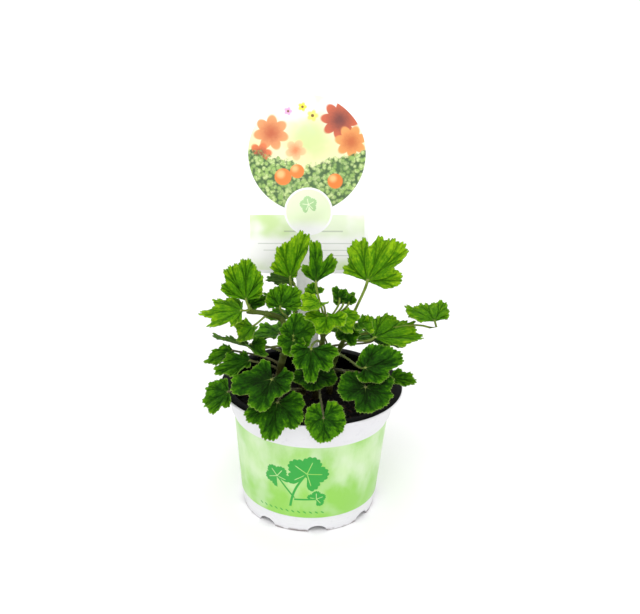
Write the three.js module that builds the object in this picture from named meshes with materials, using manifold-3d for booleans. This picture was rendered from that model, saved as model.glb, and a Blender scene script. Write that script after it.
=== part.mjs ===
// A scented geranium in a 13 cm nursery pot, with its picture label.
// Millimetres, +Z up. Everything is placed about the pot's axis, which is the z axis until
// the last lines centre the whole. The pot stands on z = 0 and its front is -Y.
import * as THREE from 'three';
import { mergeVertices } from 'three/addons/utils/BufferGeometryUtils.js';
import Module from 'manifold-3d';

const manifoldKit = await Module();
manifoldKit.setup();
const { Manifold, Mesh: ManifoldMesh } = manifoldKit;

// Driving sizes of the pot
const POT_HEIGHT = 93.4;
const RIM_RADIUS = 64.8;
const RIM_THICKNESS = 1.6;
const COLLAR_RADIUS = 57.8;
const COLLAR_BOTTOM = 76;
const BAND_TOP = 71.8;
const BAND_TOP_RADIUS = 55.2;
const BAND_BOTTOM = 12.4;
const BAND_BOTTOM_RADIUS = 49.8;
const FOOT_RADIUS = 47.9;
const POT_WALL = 1.3;
const FLOOR_UNDERSIDE = 6.6;
const ARCH_COUNT = 8;
const ARCH_TURN = 8.7;
const ARCH_WIDTH = 14;
const ARCH_HEIGHT = 5;
const DRAIN_RADIUS = 4;

// Driving sizes of the soil
const SOIL_LEVEL = 76;
const SOIL_GAP = 0.35;
const SOIL_ROUGHNESS = 1.3;
const STEM_HOLE_GAP = 0.5;
const STEM_DEPTH = 20;

// Driving sizes of the label: a round head over a wide panel, on a stake
const LABEL_X = -3.4;
const LABEL_FOOT_Y = 38;
const LABEL_LEAN = 5;
const LABEL_TURN = 1.8;
const LABEL_THICKNESS = 0.9;
const HEAD_RADIUS = 45.5;
const HEAD_CENTRE = 171;
const PANEL_TOP = 129;
const PANEL_BOTTOM = 84;
const PANEL_HALF_WIDTH = 44.5;
const PANEL_CORNER = 13;
const STAKE_HALF_WIDTH = 8;
const STAKE_DEPTH = 48;

// Driving sizes of the plant
const BLADE_THICKNESS = 0.9;
const PETIOLE_RADIUS = 1.05;
const MOST_APPROACH = 8;
const TEETH_PER_LOBE = 3;
const SURFACE_RING = 0.55;

const radians = THREE.MathUtils.degToRad;
const SIDES_ROUND = 48;

// A geometry from a list of points and the triangles between them
function geometryOf(points, triangles) {
  const geometry = new THREE.BufferGeometry();
  geometry.setFromPoints(points);
  geometry.setIndex(triangles.flat());
  return geometry;
}

// Turns a closed geometry into a solid that can be cut and fused
function solidFrom(geometry) {
  const bare = new THREE.BufferGeometry();
  bare.setAttribute('position', geometry.getAttribute('position').clone());
  if (geometry.index) bare.setIndex(geometry.index.clone());
  const merged = mergeVertices(bare, 1e-4);
  const mesh = new ManifoldMesh({
    numProp: 3,
    vertProperties: new Float32Array(merged.getAttribute('position').array),
    triVerts: new Uint32Array(merged.index.array),
  });
  return new Manifold(mesh);
}

// Turns a solid back into a named mesh
function meshFrom(name, solid, material) {
  const data = solid.getMesh();
  const geometry = new THREE.BufferGeometry();
  geometry.setAttribute('position', new THREE.BufferAttribute(new Float32Array(data.vertProperties), 3));
  geometry.setIndex(Array.from(data.triVerts));
  geometry.computeVertexNormals();
  const mesh = new THREE.Mesh(geometry, material);
  mesh.name = name;
  return mesh;
}

function lathe(profile, sides = SIDES_ROUND) {
  const points = profile.map(([r, z]) => new THREE.Vector2(r, z));
  const geometry = new THREE.LatheGeometry(points, sides);
  geometry.rotateX(Math.PI / 2);
  return solidFrom(geometry);
}

function upright(radius, bottom, top, sides = 12) {
  const geometry = new THREE.CylinderGeometry(radius, radius, top - bottom, sides);
  geometry.rotateX(Math.PI / 2);
  geometry.translate(0, 0, (top + bottom) / 2);
  return geometry;
}

// The same random numbers on every run
function seeded(seed) {
  let state = seed;
  return () => {
    state = (state * 1664525 + 1013904223) % 4294967296;
    return state / 4294967296;
  };
}

// Pot

// Outer radius of the tapered wall at a height
function wallRadius(z) {
  const share = (z - BAND_BOTTOM) / (BAND_TOP - BAND_BOTTOM);
  return BAND_BOTTOM_RADIUS + share * (BAND_TOP_RADIUS - BAND_BOTTOM_RADIUS);
}

const innerFloor = FLOOR_UNDERSIDE + POT_WALL;

function potProfile() {
  const rimUnderside = POT_HEIGHT - RIM_THICKNESS;
  const stepTop = COLLAR_BOTTOM - 0.6;
  return [
    [0, innerFloor],
    [wallRadius(innerFloor) - POT_WALL - 2, innerFloor],
    [wallRadius(innerFloor + 2) - POT_WALL, innerFloor + 2],
    [wallRadius(stepTop) - POT_WALL, stepTop],
    [COLLAR_RADIUS - POT_WALL, COLLAR_BOTTOM + 1],
    [COLLAR_RADIUS - POT_WALL + 0.4, POT_HEIGHT - 1.2],
    [COLLAR_RADIUS - POT_WALL + 1.6, POT_HEIGHT],
    [RIM_RADIUS - 0.4, POT_HEIGHT],
    [RIM_RADIUS, POT_HEIGHT - 0.5],
    [RIM_RADIUS, rimUnderside],
    [COLLAR_RADIUS + 0.6, rimUnderside],
    [COLLAR_RADIUS, rimUnderside - 0.8],
    [COLLAR_RADIUS - 0.4, COLLAR_BOTTOM],
    [wallRadius(stepTop), stepTop],
    [BAND_BOTTOM_RADIUS, BAND_BOTTOM],
    [BAND_BOTTOM_RADIUS - 0.7, BAND_BOTTOM - 0.7],
    [FOOT_RADIUS + 0.6, 7],
    [FOOT_RADIUS, 0],
    [FOOT_RADIUS - POT_WALL - 0.7, 0],
    [FOOT_RADIUS - POT_WALL, FLOOR_UNDERSIDE],
    [0, FLOOR_UNDERSIDE],
    [0, innerFloor],
  ].reverse();
}

function footArch(angle) {
  const geometry = new THREE.CylinderGeometry(1, 1, 12, 12);
  geometry.scale(ARCH_WIDTH / 2, 1, ARCH_HEIGHT);
  geometry.translate(0, -FOOT_RADIUS, 0);
  geometry.rotateZ(angle);
  return solidFrom(geometry);
}

function drainHole(radius, angle) {
  const geometry = upright(DRAIN_RADIUS, FLOOR_UNDERSIDE - 1, innerFloor + 1);
  geometry.translate(0, -radius, 0);
  geometry.rotateZ(angle);
  return solidFrom(geometry);
}

function pot() {
  let solid = lathe(potProfile());
  for (let i = 0; i < ARCH_COUNT; i += 1) {
    const angle = radians(ARCH_TURN + (i * 360) / ARCH_COUNT);
    solid = solid.subtract(footArch(angle)).subtract(drainHole(FOOT_RADIUS * 0.72, angle));
  }
  return solid.subtract(drainHole(0, 0));
}

// Label

// Outline of the label in its own plane, with y up from the soil's level
function labelOutline() {
  const shape = new THREE.Shape();
  const waist = PANEL_TOP - HEAD_CENTRE;
  const waistAngle = Math.asin(waist / HEAD_RADIUS);
  shape.moveTo(0, -STAKE_DEPTH);
  shape.lineTo(STAKE_HALF_WIDTH, -STAKE_DEPTH + 14);
  shape.lineTo(STAKE_HALF_WIDTH, PANEL_BOTTOM - 6);
  shape.quadraticCurveTo(STAKE_HALF_WIDTH, PANEL_BOTTOM, STAKE_HALF_WIDTH + 6, PANEL_BOTTOM);
  shape.lineTo(PANEL_HALF_WIDTH - PANEL_CORNER, PANEL_BOTTOM);
  shape.absarc(PANEL_HALF_WIDTH - PANEL_CORNER, PANEL_BOTTOM + PANEL_CORNER, PANEL_CORNER, -Math.PI / 2, 0);
  shape.lineTo(PANEL_HALF_WIDTH, PANEL_TOP - 3);
  shape.absarc(PANEL_HALF_WIDTH - 3, PANEL_TOP - 3, 3, 0, Math.PI / 2);
  shape.absarc(0, HEAD_CENTRE, HEAD_RADIUS, waistAngle, Math.PI - waistAngle);
  shape.absarc(3 - PANEL_HALF_WIDTH, PANEL_TOP - 3, 3, Math.PI / 2, Math.PI);
  shape.lineTo(-PANEL_HALF_WIDTH, PANEL_BOTTOM + PANEL_CORNER);
  const leftCorner = PANEL_CORNER - PANEL_HALF_WIDTH;
  shape.absarc(leftCorner, PANEL_BOTTOM + PANEL_CORNER, PANEL_CORNER, Math.PI, Math.PI * 1.5);
  shape.lineTo(-STAKE_HALF_WIDTH - 6, PANEL_BOTTOM);
  shape.quadraticCurveTo(-STAKE_HALF_WIDTH, PANEL_BOTTOM, -STAKE_HALF_WIDTH, PANEL_BOTTOM - 6);
  shape.lineTo(-STAKE_HALF_WIDTH, -STAKE_DEPTH + 14);
  shape.closePath();
  return shape;
}

function placeLabel(geometry) {
  geometry.rotateZ(radians(LABEL_TURN));
  geometry.rotateX(Math.PI / 2 - radians(LABEL_LEAN));
  geometry.translate(LABEL_X, LABEL_FOOT_Y, SOIL_LEVEL);
  return geometry;
}

function label() {
  const geometry = new THREE.ExtrudeGeometry(labelOutline(), {
    depth: LABEL_THICKNESS,
    bevelEnabled: false,
    curveSegments: 9,
  });
  return solidFrom(placeLabel(geometry));
}

// The slot that the stake has pushed into the soil
function labelSlot() {
  const width = 2 * (STAKE_HALF_WIDTH + STEM_HOLE_GAP);
  const height = STAKE_DEPTH + 12;
  const geometry = new THREE.BoxGeometry(width, height, LABEL_THICKNESS + 2 * STEM_HOLE_GAP);
  geometry.translate(0, 10 - height / 2, LABEL_THICKNESS / 2);
  return solidFrom(placeLabel(geometry));
}

// Plant

// Directions along a blade's midrib, across it and up from its face
function bladeFrame({ heading, pitch, roll = 0 }) {
  const turn = new THREE.Matrix4().makeRotationZ(radians(heading));
  turn.multiply(new THREE.Matrix4().makeRotationY(-radians(pitch)));
  turn.multiply(new THREE.Matrix4().makeRotationX(radians(roll)));
  return turn;
}

// A blade's length towards a place on its margin, eased between the middles of its lobes
function lobeLength(leaf, lobe) {
  const place = Math.min(Math.max(lobe - 0.5, 0), leaf.lobes - 1);
  const before = Math.min(Math.floor(place), leaf.lobes - 2);
  const ease = (1 - Math.cos(Math.PI * (place - before))) / 2;
  const atBase = Math.max(0, Math.abs(lobe - leaf.lobes / 2) - leaf.lobes / 2 + 0.5);
  return (leaf.lengths[before] * (1 - ease) + leaf.lengths[before + 1] * ease) * (1 - 0.4 * atBase);
}

// Margin of a blade: lobes with cuts between them, each with rounded teeth
function marginRadius(leaf, share) {
  const lobe = ((share + 1) / 2) * leaf.lobes;
  const gap = Math.round(lobe);
  const tooth = lobe * TEETH_PER_LOBE + 0.5;
  const depth = leaf.cuts?.[gap - 1] ?? leaf.cut;
  const cut = 1 - depth * Math.cos(Math.PI * (lobe - gap)) ** 6;
  const notch = 1 - leaf.teeth * (1 - Math.sin(Math.PI * (tooth - Math.floor(tooth))));
  return leaf.reach * lobeLength(leaf, lobe) * cut * notch;
}

// Height of a blade over its flat plane: cupped, arched across and waved with its lobes
function bladeHeight(leaf, share, depth) {
  const angle = radians(leaf.spread * share + leaf.lean);
  const lobe = ((share + 1) / 2) * leaf.lobes;
  const across = depth * Math.sin(angle);
  const along = depth * Math.cos(angle);
  const wave = leaf.wave * depth ** 2 * Math.cos(2 * Math.PI * lobe + leaf.phase);
  const fold = leaf.fold * Math.abs(across);
  const droop = leaf.droop * along * Math.abs(along);
  return leaf.reach * (fold + leaf.cup * depth ** 2 - leaf.arch * across ** 2 - droop + wave);
}

const BLADE_KINDS = {
  fan: {
    lobes: 5, spread: 98, lengths: [0.72, 0.92, 1, 0.92, 0.72], cut: 0.13, teeth: 0.05,
    fold: 0.15, cup: 0.05, arch: 0.1, droop: 0.06, wave: 0.05,
  },
  round: {
    lobes: 5, spread: 150, lengths: [0.72, 0.9, 1, 0.9, 0.72], cut: 0.09, teeth: 0.045,
    fold: 0.05, cup: 0.06, arch: 0.1, droop: 0.12, wave: 0.05,
  },
  young: {
    lobes: 3, spread: 105, lengths: [0.85, 1, 0.85], cut: 0.2, teeth: 0.08,
    fold: 0.15, cup: 0.15, arch: 0.05, droop: 0, wave: 0.1,
  },
};

function completeLeaf(leaf) {
  const plain = { width: 1, phase: leaf.at[0] + leaf.at[1], roll: 0, lean: 0 };
  return { ...plain, ...BLADE_KINDS[leaf.kind], ...leaf };
}

// A blade of even thickness, split alike on both faces
function bladeSolid(rawLeaf) {
  const leaf = completeLeaf(rawLeaf);
  const steps = leaf.lobes * TEETH_PER_LOBE * 2;
  const frame = bladeFrame(leaf);
  const origin = new THREE.Vector3(...leaf.at);
  const rows = [];
  const point = (share, depth) => {
    const angle = radians(leaf.spread * share + leaf.lean);
    const radius = marginRadius(leaf, share) * depth;
    const height = bladeHeight(leaf, share, depth);
    return [radius * Math.cos(angle), radius * Math.sin(angle) * leaf.width, height];
  };
  rows.push([0, 0, 0]);
  for (let i = 0; i <= steps; i += 3) {
    const share = (2 * i) / steps - 1;
    const plain = { ...leaf, cut: 0, cuts: [], teeth: 0 };
    const angle = radians(leaf.spread * share + leaf.lean);
    const radius = marginRadius(plain, share) * SURFACE_RING;
    const height = bladeHeight(leaf, share, SURFACE_RING);
    rows.push([radius * Math.cos(angle), radius * Math.sin(angle) * leaf.width, height]);
  }
  const outer = rows.length;
  for (let i = 0; i <= steps; i += 1) rows.push(point((2 * i) / steps - 1, 1));
  const faces = [];
  for (let i = 0; i < steps / 3; i += 1) {
    const inner = 1 + i;
    const edge = outer + 3 * i;
    faces.push([0, inner, inner + 1]);
    faces.push([inner, edge, edge + 1]);
    faces.push(i % 2 ? [inner, edge + 1, edge + 2] : [inner + 1, edge + 1, edge + 2]);
    faces.push(i % 2 ? [inner, edge + 2, inner + 1] : [inner, edge + 1, inner + 1]);
    faces.push([inner + 1, edge + 2, edge + 3]);
  }
  const loop = [0, 1];
  for (let i = 0; i <= steps; i += 1) loop.push(outer + i);
  loop.push(outer - 1);
  return slab(rows, faces, loop, frame, origin);
}

// Two copies of a face a blade's thickness apart, joined round their border
function slab(rows, faces, loop, frame, origin) {
  const points = [];
  for (const side of [0.5, -0.5]) {
    for (const [x, y, z] of rows) {
      points.push(new THREE.Vector3(x, y, z + side * BLADE_THICKNESS).applyMatrix4(frame).add(origin));
    }
  }
  const count = rows.length;
  const triangles = [];
  for (const [a, b, c] of faces) {
    triangles.push([a, b, c]);
    triangles.push([a + count, c + count, b + count]);
  }
  for (let i = 0; i < loop.length; i += 1) {
    const a = loop[i];
    const b = loop[(i + 1) % loop.length];
    triangles.push([a, a + count, b]);
    triangles.push([b, a + count, b + count]);
  }
  return solidFrom(geometryOf(points, triangles));
}

// A tube along a curve, thinner towards its end
function tube(curve, startRadius, endRadius, segments, sides) {
  const points = [];
  const triangles = [];
  const frames = curve.computeFrenetFrames(segments, false);
  for (let i = 0; i <= segments; i += 1) {
    const radius = startRadius + ((endRadius - startRadius) * i) / segments;
    for (let j = 0; j < sides; j += 1) {
      const angle = (2 * Math.PI * j) / sides;
      const spot = curve.getPointAt(i / segments);
      spot.addScaledVector(frames.normals[i], radius * Math.cos(angle));
      spot.addScaledVector(frames.binormals[i], radius * Math.sin(angle));
      points.push(spot);
    }
  }
  for (let i = 0; i < segments; i += 1) {
    for (let j = 0; j < sides; j += 1) {
      const a = i * sides + j;
      const b = i * sides + ((j + 1) % sides);
      triangles.push([a, b, a + sides]);
      triangles.push([b, b + sides, a + sides]);
    }
  }
  const last = segments * sides;
  for (let j = 1; j < sides - 1; j += 1) {
    triangles.push([0, j + 1, j]);
    triangles.push([last, last + j, last + j + 1]);
  }
  return solidFrom(geometryOf(points, triangles));
}

// The petiole leaves the stem upwards and ends just past the blade's base
function petioleCurve(leaf, start) {
  const frame = bladeFrame(leaf);
  const bend = leaf.pitch > 30 ? 0.35 : 0.9;
  const midrib = new THREE.Vector3(1, 0, bend).applyMatrix4(frame).normalize();
  const end = new THREE.Vector3(...leaf.at).addScaledVector(midrib, 0.6);
  const span = start.distanceTo(end);
  const lift = new THREE.Vector3(0, 0, span * (leaf.lift ?? 0.25)).add(start);
  const approach = end.clone().addScaledVector(midrib, -Math.min(span * 0.3, MOST_APPROACH));
  if (leaf.via) {
    return new THREE.CatmullRomCurve3([start, new THREE.Vector3(...leaf.via), approach.lerp(end, 0.3), end]);
  }
  return new THREE.CubicBezierCurve3(start, lift, approach, end);
}

function stemCurve(stem) {
  const points = stem.route.map((spot) => new THREE.Vector3(...spot));
  const foot = points[0].clone().setZ(SOIL_LEVEL - STEM_DEPTH);
  return new THREE.CatmullRomCurve3([foot, ...points]);
}

function leafyStem(stem) {
  const curve = stemCurve(stem);
  let solid = tube(curve, stem.radius, stem.radius * 0.45, stem.route.length * 2 + 2, 8);
  for (const leaf of stem.leaves) {
    const start = curve.getPointAt(leaf.from);
    const radius = PETIOLE_RADIUS * (leaf.stalk ?? 1);
    solid = solid.add(tube(petioleCurve(leaf, start), radius, radius * 0.85, 5, 4));
    solid = solid.add(bladeSolid(leaf));
  }
  return solid;
}

// The stems, each by its route from the soil and the leaves along it. A leaf springs from a
// share of the stem's length, and its blade starts at a spot with a compass heading, a rise
// of its midrib and a roll about it. Lengths are those of its lobes as shares of its reach,
// and cuts are how deep the gaps between them go, both from its right side to its left.
const STEMS = [
  {
    name: 'stem_left',
    radius: 3.4,
    route: [[-24, 8, 78], [-23, 5, 100], [-19, 2, 124], [-22, 0, 141], [-33, -4, 147], [-46, -8, 150]],
    leaves: [
      // Tall leaf at the branch end
      { at: [-46.5, -9, 158.5], from: 0.98, kind: 'fan', heading: 97, pitch: 72, reach: 30,
        spread: 78, lengths: [0.44, 0.7, 1, 0.86, 0.64], cuts: [0.04, 0.02, 0.02, 0.18] },
      // Farthest left
      { at: [-49, -12, 152], from: 0.98, kind: 'fan', heading: 182, pitch: -5, roll: -16, reach: 30,
        spread: 92, lengths: [0.5, 0.8, 0.97, 0.93, 0.6], cuts: [0.06, 0.2, 0.22, 0.34], fold: 0.06 },
      // Narrow, seen from its side
      { at: [-46, 4, 118], from: 0.55, kind: 'fan', heading: 178, pitch: 16, roll: 25, reach: 27,
        spread: 85, lengths: [0.4, 0.72, 1, 0.72, 0.4], cut: 0.08 },
      // Under the branch
      { at: [-42, -6, 138], from: 0.85, kind: 'young', heading: 215, pitch: -50, reach: 15, cut: 0.1 },
      // Behind the branch end
      { at: [-45, 3, 150], from: 0.97, kind: 'fan', heading: 8, pitch: 25, roll: 50, reach: 15,
        width: 0.5 },
      // Small and curled
      { at: [-43, -10, 126], from: 0.5, kind: 'young', heading: -20, pitch: -40, reach: 14 },
      // Over the rim, inner left
      { at: [-43, -15, 116], from: 0.35, kind: 'fan', heading: 192, pitch: -16, roll: -10,
        reach: 27, spread: 85, lengths: [0.38, 0.74, 0.98, 0.76, 0.4], cut: 0.06 },
      // Over the rim, outer left
      { at: [-58, 16, 109], from: 0.4, kind: 'fan', heading: 205, pitch: -16, roll: -8, reach: 24,
        spread: 85, lengths: [0.32, 0.62, 0.96, 0.76, 0.45], cut: 0.05 },
      // Beside the rim at the left
      { at: [-56, -38, 103], from: 0.3, kind: 'fan', heading: 182, pitch: -28, roll: -25,
        reach: 20.5, spread: 105, lengths: [0.6, 0.92, 1, 0.96, 0.66],
        cuts: [0.12, 0.16, 0.12, 0.24] },
    ],
  },
  {
    name: 'stem_middle',
    radius: 3,
    route: [[-7, 16, 78], [-8, 13, 100], [-12, 12, 125], [-14, 12, 150]],
    leaves: [
      // Round, upper middle
      { at: [-23.5, -3, 152], from: 0.8, kind: 'fan', heading: 80, pitch: 58, reach: 19,
        spread: 105, lengths: [0.84, 1, 0.9, 0.7, 0.55], cut: 0.06 },
      // Tall, in front of the label
      { at: [-17.6, 14, 167], from: 0.98, kind: 'fan', heading: 70, pitch: 76, reach: 36, lobes: 4,
        spread: 74, lean: 3, lengths: [0.27, 1, 0.68, 0.42], cuts: [0.36, 0.04, 0.04], fold: 0.25 },
      // Dark, behind the tall one
      { at: [-16, 24, 161], from: 0.9, kind: 'fan', heading: 175, pitch: 2, roll: 50, reach: 20,
        width: 0.7 },
      // Behind the round one
      { at: [-20, 23, 148], from: 0.9, kind: 'fan', heading: 128, pitch: 0, reach: 19 },
      // Middle of the plant
      { at: [-13.5, -22.5, 139], from: 0.6, kind: 'round', heading: 75, pitch: 66, reach: 17,
        lengths: [0.78, 1, 0.98, 0.62, 0.6], cuts: [0.1, 0.05, 0.1, 0.15] },
      // Small, under the middle one
      { at: [-13, -26, 137], from: 0.55, kind: 'young', heading: 250, pitch: -40, reach: 13 },
      // Small, behind the middle one
      { at: [-13, -8, 130], from: 0.7, kind: 'round', heading: 245, pitch: -30, reach: 12 },
      // Broad, over the left rim
      { at: [-26, -45, 117], via: [-16, -18, 108], from: 0.3, kind: 'round', heading: 258,
        pitch: -24, reach: 29, lean: -10, lengths: [0.55, 1, 0.93, 0.54, 0.53],
        cuts: [0.1, 0.3, 0.28, 0.12] },
      // Lobed, hangs over the rim
      { at: [-22, -52, 104], via: [-17, -26, 99], from: 0.25, kind: 'round', heading: 259,
        pitch: -35, reach: 28, spread: 130, lengths: [0.62, 0.88, 1, 0.86, 0.64],
        cuts: [0.1, 0.18, 0.22, 0.14] },
    ],
  },
  {
    name: 'stem_crown',
    radius: 3,
    route: [[3, 9, 78], [4, 6, 100], [6, -2, 125], [9, -7, 142]],
    leaves: [
      // Deeply cut, at the top
      { at: [0.6, -10, 173.5], from: 0.95, kind: 'young', heading: 68, pitch: 72, reach: 28,
        spread: 60, lean: 6, lengths: [0.88, 1, 0.42], cuts: [0.44, 0.44], fold: 0.1 },
      // Bright, left of the crown
      { at: [4, -20, 163], from: 0.9, kind: 'young', heading: 215, pitch: -20, reach: 16 },
      // Behind the bright one
      { at: [0, -8, 164], from: 0.9, kind: 'young', heading: 120, pitch: 30, reach: 9 },
      // Bright, in front of the crown
      { at: [9, -26, 156], from: 0.95, kind: 'young', heading: 260, pitch: -35, reach: 17,
        width: 1.1, cut: 0.26 },
      // Curled, crown
      { at: [20, -5, 157], from: 0.98, kind: 'young', heading: 100, pitch: 65, reach: 10 },
      // Curled, crown
      { at: [17, -7, 161], from: 0.98, kind: 'young', heading: 140, pitch: 45, reach: 9 },
      // Curled, crown
      { at: [24, -6, 158], from: 0.98, kind: 'young', heading: 40, pitch: 50, reach: 8 },
      // Bright, right of the crown
      { at: [16, -12, 151], from: 0.96, kind: 'young', heading: -55, pitch: -42, reach: 17 },
      // Bright margin, in front
      { at: [-1, -38, 137], from: 0.75, kind: 'fan', heading: 272, pitch: -45, reach: 25,
        spread: 104, lengths: [0.56, 0.68, 1, 0.8, 0.76], cuts: [0.14, 0.26, 0.28, 0.14] },
      // Dark, low over the soil
      { at: [2, -14, 107], from: 0.5, kind: 'round', heading: 268, pitch: -15, reach: 17,
        width: 1.15 },
      // Round, hangs over the rim
      { at: [8.6, -64.6, 99.8], from: 0.3, kind: 'round', heading: 274, pitch: -42, reach: 17.5,
        spread: 165, lengths: [0.7, 0.76, 1, 0.88, 0.82], cut: 0.04 },
    ],
  },
  {
    name: 'stem_right',
    radius: 3,
    route: [[13, 17, 78], [14, 14, 98], [19, 6, 118], [25, 0, 136]],
    leaves: [
      // Small, right of the crown
      { at: [30, -5, 142], from: 0.98, kind: 'young', heading: -30, pitch: -25, reach: 13 },
      // Small, under it
      { at: [22, -10, 137], from: 0.9, kind: 'young', heading: -60, pitch: -35, reach: 12 },
      // Broad, over the right rim
      { at: [35, -42, 126], from: 0.6, kind: 'round', heading: 5, pitch: 18, roll: 50, reach: 27,
        width: 0.8, spread: 140, lengths: [0.44, 0.68, 1, 0.82, 0.32], cuts: [0.1, 0.2, 0.03, 0.08] },
      // Dark, low at the right
      { at: [36, -46, 114], from: 0.4, kind: 'round', heading: 277, pitch: -30, reach: 20,
        width: 1.08, lean: -8, lengths: [0.85, 0.92, 1.04, 0.92, 0.95],
        cuts: [0.05, 0.36, 0.06, 0.16] },
      // Beside the rim at the right
      { at: [54, -20, 109], from: 0.4, kind: 'fan', heading: -5, pitch: -5, roll: 20, reach: 19,
        width: 0.62, spread: 80, cut: 0.04 },
      // Long, at the right
      { at: [42, -12, 135], from: 0.8, kind: 'fan', heading: 38, pitch: 9, roll: 14, reach: 36,
        spread: 92, lengths: [0.6, 0.96, 0.96, 0.64, 0.5], cuts: [0.04, 0.1, 0.05, 0.05] },
      // Farthest right
      { at: [84, 0, 144], via: [72, 0, 140.5], from: 0.9, kind: 'fan', heading: 110, pitch: 14,
        reach: 25, spread: 100, lengths: [0.5, 0.92, 0.86, 0.96, 0.72],
        cuts: [0.05, 0.03, 0.12, 0.03] },
      // Largest, with a deep notch
      { at: [36, 2, 171], from: 0.98, kind: 'fan', heading: 45, pitch: 62, reach: 39, spread: 92,
        lengths: [0.8, 1, 0.84, 0.85, 0.62], cuts: [0.24, 0, 0.28, 0.03], stalk: 1.35 },
    ],
  },
  {
    name: 'stem_back',
    radius: 2.8,
    route: [[6, 27, 78], [8, 29, 98], [7, 30, 112], [5, 30, 124]],
    leaves: [
      // Back, left
      { at: [-26, 54, 107], via: [2, 51, 99], from: 0.6, kind: 'fan', heading: 165, pitch: -8,
        reach: 26 },
      // Back, middle
      { at: [4, 62, 113], via: [10, 45, 104], from: 0.55, kind: 'round', heading: 85, pitch: -15,
        reach: 21 },
      // Back, right
      { at: [30, 48, 108], from: 0.5, kind: 'fan', heading: 42, pitch: -5, reach: 26 },
      // Back, far right
      { at: [44, 26, 116], from: 0.7, kind: 'fan', heading: 20, pitch: -5, reach: 25 },
      // Back, upper left
      { at: [-20, 30, 130], from: 0.9, kind: 'fan', heading: 165, pitch: 5, reach: 18 },
      // Back, upper middle
      { at: [12, 30, 121], from: 0.85, kind: 'fan', heading: 48, pitch: 10, reach: 19 },
      // Back, upper right
      { at: [36, 22, 129], from: 0.95, kind: 'fan', heading: 38, pitch: -8, reach: 20 },
    ],
  },
];

// Soil

function soilTop(x, y) {
  const ripple = Math.sin(x * 0.31 + 1) * Math.cos(y * 0.27 - 2) + 0.6 * Math.sin(x * 0.71 - y * 0.53);
  return SOIL_LEVEL + SOIL_ROUGHNESS * ripple;
}

function soilBlock() {
  const rings = 6;
  const sides = 24;
  const topRadius = wallRadius(SOIL_LEVEL - 3) - POT_WALL - SOIL_GAP;
  const bottomRadius = wallRadius(innerFloor + 2) - POT_WALL - SOIL_GAP;
  const random = seeded(7);
  const points = [new THREE.Vector3(0, 0, soilTop(0, 0))];
  const ringPoint = (radius, i, level) => {
    const angle = (2 * Math.PI * i) / sides;
    const spot = new THREE.Vector3(radius * Math.cos(angle), radius * Math.sin(angle), level);
    points.push(spot);
    return spot;
  };
  for (let ring = 1; ring <= rings; ring += 1) {
    for (let i = 0; i < sides; i += 1) {
      const spot = ringPoint((topRadius * ring) / rings, i, SOIL_LEVEL - 2.2);
      const crumb = (random() - 0.5) * 1.6;
      if (ring < rings) spot.z = soilTop(spot.x, spot.y) + crumb;
    }
  }
  for (let i = 0; i < sides; i += 1) ringPoint(bottomRadius, i, innerFloor + 2 + SOIL_GAP);
  for (let i = 0; i < sides; i += 1) ringPoint(bottomRadius - 2, i, innerFloor + SOIL_GAP);
  points.push(new THREE.Vector3(0, 0, innerFloor + SOIL_GAP));
  const last = points.length - 1;
  const triangles = [];
  const at = (ring, i) => 1 + (ring - 1) * sides + (i % sides);
  for (let i = 0; i < sides; i += 1) {
    triangles.push([0, at(1, i), at(1, i + 1)]);
    for (let ring = 1; ring < rings + 2; ring += 1) {
      triangles.push([at(ring, i), at(ring + 1, i), at(ring + 1, i + 1)]);
      triangles.push([at(ring, i), at(ring + 1, i + 1), at(ring, i + 1)]);
    }
    triangles.push([last, at(rings + 2, i + 1), at(rings + 2, i)]);
  }
  return solidFrom(geometryOf(points, triangles));
}

function soil() {
  let solid = soilBlock().subtract(labelSlot());
  for (const stem of STEMS) {
    const holeFoot = SOIL_LEVEL - STEM_DEPTH - STEM_HOLE_GAP;
    const hole = upright(stem.radius + STEM_HOLE_GAP, holeFoot, SOIL_LEVEL + 6);
    hole.translate(stem.route[0][0], stem.route[0][1], 0);
    solid = solid.subtract(solidFrom(hole));
  }
  return solid;
}

// Materials

function plain(name, color, roughness) {
  const material = new THREE.MeshStandardMaterial({ color, roughness });
  material.name = name;
  return material;
}

const potPlastic = plain('pot_plastic', 0xeeeef0, 0.4);
const labelCard = plain('label_card', 0xf6f6f4, 0.45);
const pottingSoil = plain('potting_soil', 0x1b1512, 0.95);
const foliage = plain('geranium_foliage', 0x4d8a22, 0.6);

const plant = new THREE.Group();
plant.name = 'potted_scented_geranium';
plant.add(meshFrom('pot', pot(), potPlastic));
plant.add(meshFrom('soil', soil(), pottingSoil));
plant.add(meshFrom('plant_label', label(), labelCard));
for (const stem of STEMS) plant.add(meshFrom(stem.name, leafyStem(stem), foliage));

// The origin is the middle of all that the plant covers, on the surface that the pot stands on
const box = new THREE.Box3().setFromObject(plant);
plant.position.set(-(box.min.x + box.max.x) / 2, -(box.min.y + box.max.y) / 2, 0);

export default plant;
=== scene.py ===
import math
import random
from types import SimpleNamespace

import bmesh
import bpy
from mathutils import Matrix, Vector, noise
from mathutils.geometry import interpolate_bezier


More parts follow.
